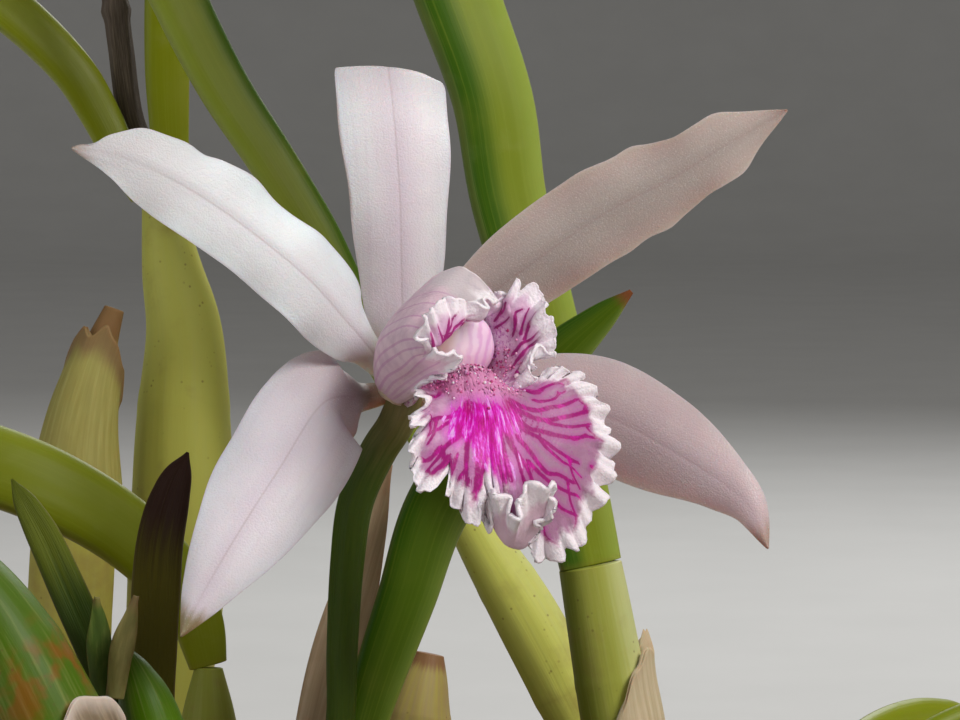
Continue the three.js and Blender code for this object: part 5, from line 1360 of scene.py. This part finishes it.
SIDE_LOBE_VEINS = [
    [0.11, (36, 0.48), (36.6, 0.54), (36.8, 0.62), (36.6, 0.7)],
    [0.11, (35.7, 0.57), (36, 0.66), (36.4, 0.76)], [0.13, (35.3, 0.6), (35.6, 0.7), (35.9, 0.82)],
    [0.12, (34.8, 0.46), (35.2, 0.54), (35.1, 0.68), (35.3, 0.84)],
    [0.12, (33.8, 0.46), (34.4, 0.5), (34.8, 0.6), (34.9, 0.7), (35, 0.82)],
    [0.13, (32.2, 0.6), (33, 0.69), (34.1, 0.73)], [0.09, (37.8, 0.42), (38.2, 0.5), (38.6, 0.62)],
    [0.09, (38, 0.46), (37.8, 0.64)], [0.09, (37.2, 0.4), (37.3, 0.52)],
    [0.11, (3.2, 0.66), (2.9, 0.82), (2.9, 0.94)], [0.11, (2.9, 0.82), (2.5, 0.88), (2.2, 0.95)],
    [0.09, (2.7, 0.86), (2.1, 0.91), (1.8, 0.95)], [0.09, (2.5, 0.84), (1.8, 0.88), (1.1, 0.92)],
    [0.09, (3.6, 0.8), (3.5, 0.94)], [0.08, (1.8, 0.84), (1, 0.88), (0.6, 0.92)],
]
inner_veins = RIGHT_VEINS + LOWER_VEINS + LEFT_VEINS + SIDE_LOBE_VEINS
for number, (half, *marks) in enumerate(RIGHT_VEINS + LOWER_VEINS + LEFT_VEINS):
    lean = 0.45 if number % 2 else -0.45
    fork_ray, fork_out = (np.array(marks[-2]) + np.array(marks[-1])) / 2
    inner_veins.append([half * 0.6, (fork_ray, fork_out), (fork_ray + lean * 0.8, fork_out + 0.05),
                        (fork_ray + lean, min(fork_out + 0.12, 0.96))])
OUTER_VEINS = [[0.09, (start, 0.1), (start - 0.2 + bow, 0.4), (start - 0.5, 0.68), (start - 0.5 - bow, 0.84)]
               for start, bow in [(0.9, 0.1), (1.5, 0.15), (2.1, 0.1), (2.7, 0.2), (3.3, 0.1), (3.9, 0.2),
                                  (4.5, 0.1), (5.1, 0.2), (5.7, 0.1), (6.3, 0.05), (6.9, 0)]]
lip_fields = {}
for group, veins in [("first", inner_veins[::2]), ("second", inner_veins[1::2]), ("outer", OUTER_VEINS)]:
    lip_fields[group + "_near"], lip_fields[group + "_across"] = vein_fields(veins)


def spot(ray_place, ray_width, out_place, out_width):
    """A soft round spot on the lip, 1 at its middle."""
    return np.exp(-(((ray_grid - ray_place) / ray_width) ** 2) - ((out_grid - out_place) / out_width) ** 2)


def belt(out_place, out_width, ray_place, ray_width, power):
    """A soft belt round the lip at one station, 1 at its middle and flat-topped along its length."""
    ends = np.exp(-(((ray_grid - ray_place) / ray_width) ** power))
    return np.exp(-(((out_grid - out_place) / out_width) ** 2)) * ends


# The core is the solid magenta patch, deep its darkest parts, and the disc the warty swelling above it
core = spot(13, 1.5, 0.55, 0.07) + spot(15.6, 2, 0.55, 0.085) + spot(18, 1.8, 0.53, 0.06)
core = core + spot(20.6, 1.2, 0.52, 0.04) + 0.5 * spot(16, 3.4, 0.62, 0.07)
core = core - 0.9 * spot(18.4, 0.7, 0.575, 0.03) - 0.9 * spot(14.2, 0.5, 0.64, 0.035)
deep = spot(13.8, 1.1, 0.51, 0.035) + spot(20.2, 1.2, 0.49, 0.03) + 0.6 * spot(16.4, 0.7, 0.55, 0.04)
disc = belt(0.39, 0.075, 18, 10, 6) + 0.7 * spot(34.3, 1.8, 0.4, 0.06)
lip_middle = lip_middle + (1.05 * belt(0.385, 0.06, 16.3, 6, 4))[..., None] * [0, -0.15, 1]
warts = np.abs(np.sin(ray_grid * 6.1 + 2.2 * np.sin(out_grid * 55)))
warts = warts * np.abs(np.sin(out_grid * 83 + ray_grid * 1.7))
lip_middle = lip_middle + (disc * warts * 0.1)[..., None] * lip_normal
lip_normal = unit(np.cross(np.gradient(lip_middle, axis=1), np.gradient(lip_middle, axis=0)))
lip_thickness = 0.14 + 0.34 * np.exp(-((out_grid / 0.5) ** 4)) + 0.1 * np.exp(-((edge_mm / 0.12) ** 2))
lip_piece = thin_sheet("lip_frilled", lip_middle + FLOWER, lip_thickness, core=core, deep=deep, disc=disc,
                       out=out_grid, edge_mm=edge_mm, ray=ray_grid, **lip_fields)

lip_flesh = Finish("lip", roughness=0.4, subsurface_weight=0.08, subsurface_scale=0.0005,
                   specular_ior_level=0.25)
here = lip_flesh.place()
blur, fine = lip_flesh.noise(here, 1.1, detail=4), lip_flesh.noise(here, 4.5, detail=3)
cell = lip_flesh.cells(here, 7)
edge, out_value, ray_value = (lip_flesh.field(field) for field in ("edge_mm", "out", "ray"))
core_value, deep_value, disc_value = (lip_flesh.field(field) for field in ("core", "deep", "disc"))


def vein_mark(group):
    """1 on the veins of a group and 0 off them, with a ragged edge."""
    raw = (lip_flesh.field(group + "_across").size() + (fine - 0.5) * 0.9).rise(1.3, 0.6)
    return raw * lip_flesh.field(group + "_near").rise(1.7, 1.2)


# Inner face: pale mauve, magenta veins with a soft halo, the solid core with its fine streaks, the disc
streak = lip_flesh.noise(lip_flesh.vector(ray_value * 0.7, out_value * 6, 0), 2.2, detail=3, roughness=0.6)
thread = lip_flesh.noise(lip_flesh.vector(ray_value * 1.8, out_value * 11, 5), 1.7, detail=3, roughness=0.6)
streaked = core_value * 0.75 + (streak - 0.5) * 2 + (thread - 0.5) * 1.6 + (fine - 0.5) * 0.4
closest = lip_flesh.field("first_near").least(lip_flesh.field("second_near"))
# The tube's wall right of the column: its own pale lilac, pushed near white as painted light that lifts its
# shade.
pale_wall_and_painted_light = ray_value.rise(30, 32) * out_value.rise(0.54, 0.42)
vein = vein_mark("first").most(vein_mark("second")) * (edge + fine * 0.6).rise(0.6, 1.1)
halo = (closest + (fine - 0.5) * 2.4).rise(4.2, 1.2) * edge.rise(0.7, 1.6)
specks = lip_flesh.cells(here, 3.4).rise(0.24, 0.1) * blur.rise(0.42, 0.56) * edge.rise(0.6, 1.1)
core_tone = lip_flesh.ramp(thread * 0.5 + streak * 0.5, (0.38, (160, 0, 100)), (0.46, (194, 0, 146)),
                           (0.51, (208, 14, 176)), (0.56, (224, 96, 220)), (0.61, (226, 172, 232)))
dots = lip_flesh.cells(here, 3.2).rise(0.26, 0.1) * disc_value.rise(0.15, 0.4)
inner = lip_flesh.layers(
    lip_flesh.mix(blur.rise(0.35, 0.7), (198, 160, 187), (170, 122, 156)),
    # Painted shade: the right half of the middle lobe darkened as if turned from the light.
    (ray_value.rise(18, 20) * ray_value.rise(31, 29) * 0.8, (156, 110, 140)),
    ((ray_value.rise(9, 7) + ray_value.rise(31, 33)) * 0.65, (236, 200, 228)),
    (out_value.rise(0.3, 0.05) * 0.8, (196, 178, 140)),
    (core_value.rise(0.02, 0.5) * 0.75, (228, 124, 212)),
    # The pale wall: partly its own pale lilac, partly painted light against the shade there.
    (pale_wall_and_painted_light * 0.9, lip_flesh.mix(fine.rise(0.46, 0.66), (254, 236, 252), (206, 120, 200))),
    (halo * 0.42, (180, 60, 156)),
    (specks * 0.6, (166, 74, 150)),
    (vein * 0.95, lip_flesh.mix(streaked.rise(0, 0.5), (150, 0, 108), (192, 0, 146))),
    (streaked.rise(0.36, 0.6) * core_value.rise(0.04, 0.22) * 0.95, core_tone),
    ((deep_value * 0.8 + (thread - 0.5) * 1.6).rise(0.3, 0.8) * 0.75, (164, 0, 92)),
    (disc_value.rise(0.1, 0.6) * (0.75 - pale_wall_and_painted_light * 0.6), (224, 138, 184)),
    (dots * 0.8, (160, 30, 100)),
)

# Outer face: mauve with fine stripes, olive at its foot and paler toward the crest. Both end in white frost
stripe = vein_mark("outer") * (edge + fine * 0.6).rise(0.6, 1.2)
crest = ray_value.rise(1.9, 0.5) * out_value.rise(0.3, 0.45)
outer = lip_flesh.layers(
    lip_flesh.mix(blur.rise(0.35, 0.7), (216, 188, 200), (200, 168, 186)),
    ((out_value + (7 - ray_value).size() * 0.03).rise(0.3, 0.08) * 0.8, (140, 122, 60)),
    (stripe * (0.45 + ray_value.rise(4.2, 5.6) * 0.3), (182, 108, 166)),
    ((crest + (blur - 0.5) * 0.8).rise(0.2, 0.9) * 0.8, (200, 192, 194)),
    (ray_value.rise(4, 6) * 0.4, (240, 206, 226)),
)
lower_edge = ray_value.rise(13, 15) * (ray_value.rise(19, 17) * 0.25 + ray_value.rise(31, 29) * 0.25)
frost = (edge + (blur - 0.5) * 1.9 - lower_edge).rise(1.3, 0.5)
lip_flesh.give("Base Color", lip_flesh.layers(
    outer,
    (lip_flesh.field("front").rise(-0.2, 0.2), inner),
    (frost * 0.85, (244, 237, 242)),
))
lip_flesh.give("Roughness", 0.46 - cell.rise(0.3, 0.1) * 0.18)
lip_flesh.relief(cell * -0.8 * (0.4 + frost * 0.5) + fine * 0.4 - vein * 0.2, 0.05, 0.8)
dress(lip_piece, lip_flesh, "lip", slot="lip_pink")

# The lip's disc below the column is covered with tiny domed grains
GRAINS = 380
WALL_GRAINS = 70
chance = np.random.default_rng(5)
grain_ray, grain_out = chance.uniform(9.5, 31, GRAINS), 0.4 + 0.032 * chance.normal(0, 1, GRAINS)
grain_ray[:WALL_GRAINS] = 34.3 + chance.normal(0, 0.9, WALL_GRAINS)
grain_out[:WALL_GRAINS] = 0.41 + 0.04 * chance.normal(0, 1, WALL_GRAINS)
grain_radius = chance.uniform(0.045, 0.095, GRAINS)
rise = on_lip(grain_ray, grain_out, lip_thickness[..., None]) / 2 + 0.3 * grain_radius[:, None]
seat = on_lip(grain_ray, grain_out, lip_middle) + on_lip(grain_ray, grain_out, lip_normal) * rise
latitude = np.linspace(0.3, 2.85, 5)
dome = turned(np.stack([np.sin(latitude), np.cos(latitude)], axis=-1), 8)
grains = grain_radius[:, None, None, None] * dome[None] + (seat + FLOWER)[:, None, None]
disc_grains = skin("lip_grains", grains, kind=chance.uniform(0, 1, GRAINS)[:, None, None])
grain_flesh = Finish("lip_grains", roughness=0.35, subsurface_weight=0.3, subsurface_scale=0.0004)
grain_flesh.give("Base Color", grain_flesh.ramp(
    grain_flesh.field("kind"), (0.1, (176, 40, 116)), (0.35, (220, 120, 178)), (0.7, (234, 168, 206)),
    (0.95, (244, 218, 230)),
))
dress(disc_grains, grain_flesh, "lip", slot="lip_pink")

# Column
# The fused stamens and style, thick and arched inside the lip's tube. Its broad face is cream on the left,
# striped with pink and violet on the right, and the pale anther cap closes its end like a flat hood.
def column_finish(name):
    """Smooth flesh: cream, pale and rose from left to right, with soft violet stripes on the right."""
    flesh = Finish(name, roughness=0.36, subsurface_weight=0.25, subsurface_scale=0.001)
    here = flesh.place()
    x, z = (flesh.node("ShaderNodeSeparateXYZ", {}, {0: here}, output=k) for k in (0, 2))
    wisp = flesh.noise(here, 0.9, detail=4)
    across = (x + (z - 109) * -0.16 - 5.7) / 3.5
    stripes = (across * 43 + wisp * 9).sine().rise(-0.6, 1) * (across + wisp * 0.4).rise(0.4, 0.9)
    flesh.give("Base Color", flesh.layers(
        flesh.ramp(across + (wisp - 0.5) * 0.2, (0.12, (252, 226, 212)), (0.36, (248, 232, 242)),
                   (0.8, (236, 204, 230))),
        (z.rise(108.9, 107.4) * 0.6, (224, 168, 196)),
        (stripes * 0.45, (206, 128, 200)),
    ))
    flesh.relief(wisp + stripes * 0.2, 0.04, 0.5)
    return flesh


def fluted(run, angle):
    """Seven faint flutes that deepen toward the column's end."""
    return 0.02 * np.cos(7 * angle) * run


def cleft(run, angle):
    """The anther cap's shallow cleft."""
    return -0.05 * np.exp(-((np.sin(angle / 2 + 0.8)) / 0.12) ** 2) * run


COLUMN = np.array([[0.6, -0.75, 0.35], [1.45, -2, 1.05], [2.45, -3.7, 1.95], [3.35, -5.3, 2.55]]) + FLOWER
column = stem("column_flesh", COLUMN, 1.94, [[0, 0.38], [0.4, 0.66], [0.85, 1], [1, 1]], 90, 64, fluted,
              blunt=0.2)
dress(column, column_finish("column"), "column", slot="column_pink")
CAP = np.array([[3.44, -5.46, 2.59], [3.84, -6.15, 2.7], [4.02, -6.55, 2.72]]) + FLOWER
cap = stem("anther_cap_flesh", CAP, 1.93, [[0, 1], [0.3, 0.99], [0.65, 0.9], [0.88, 0.68], [1, 0.3]], 60, 56,
           cleft)
dress(cap, column_finish("anther_cap"), "anther_cap", slot="anther_cream")
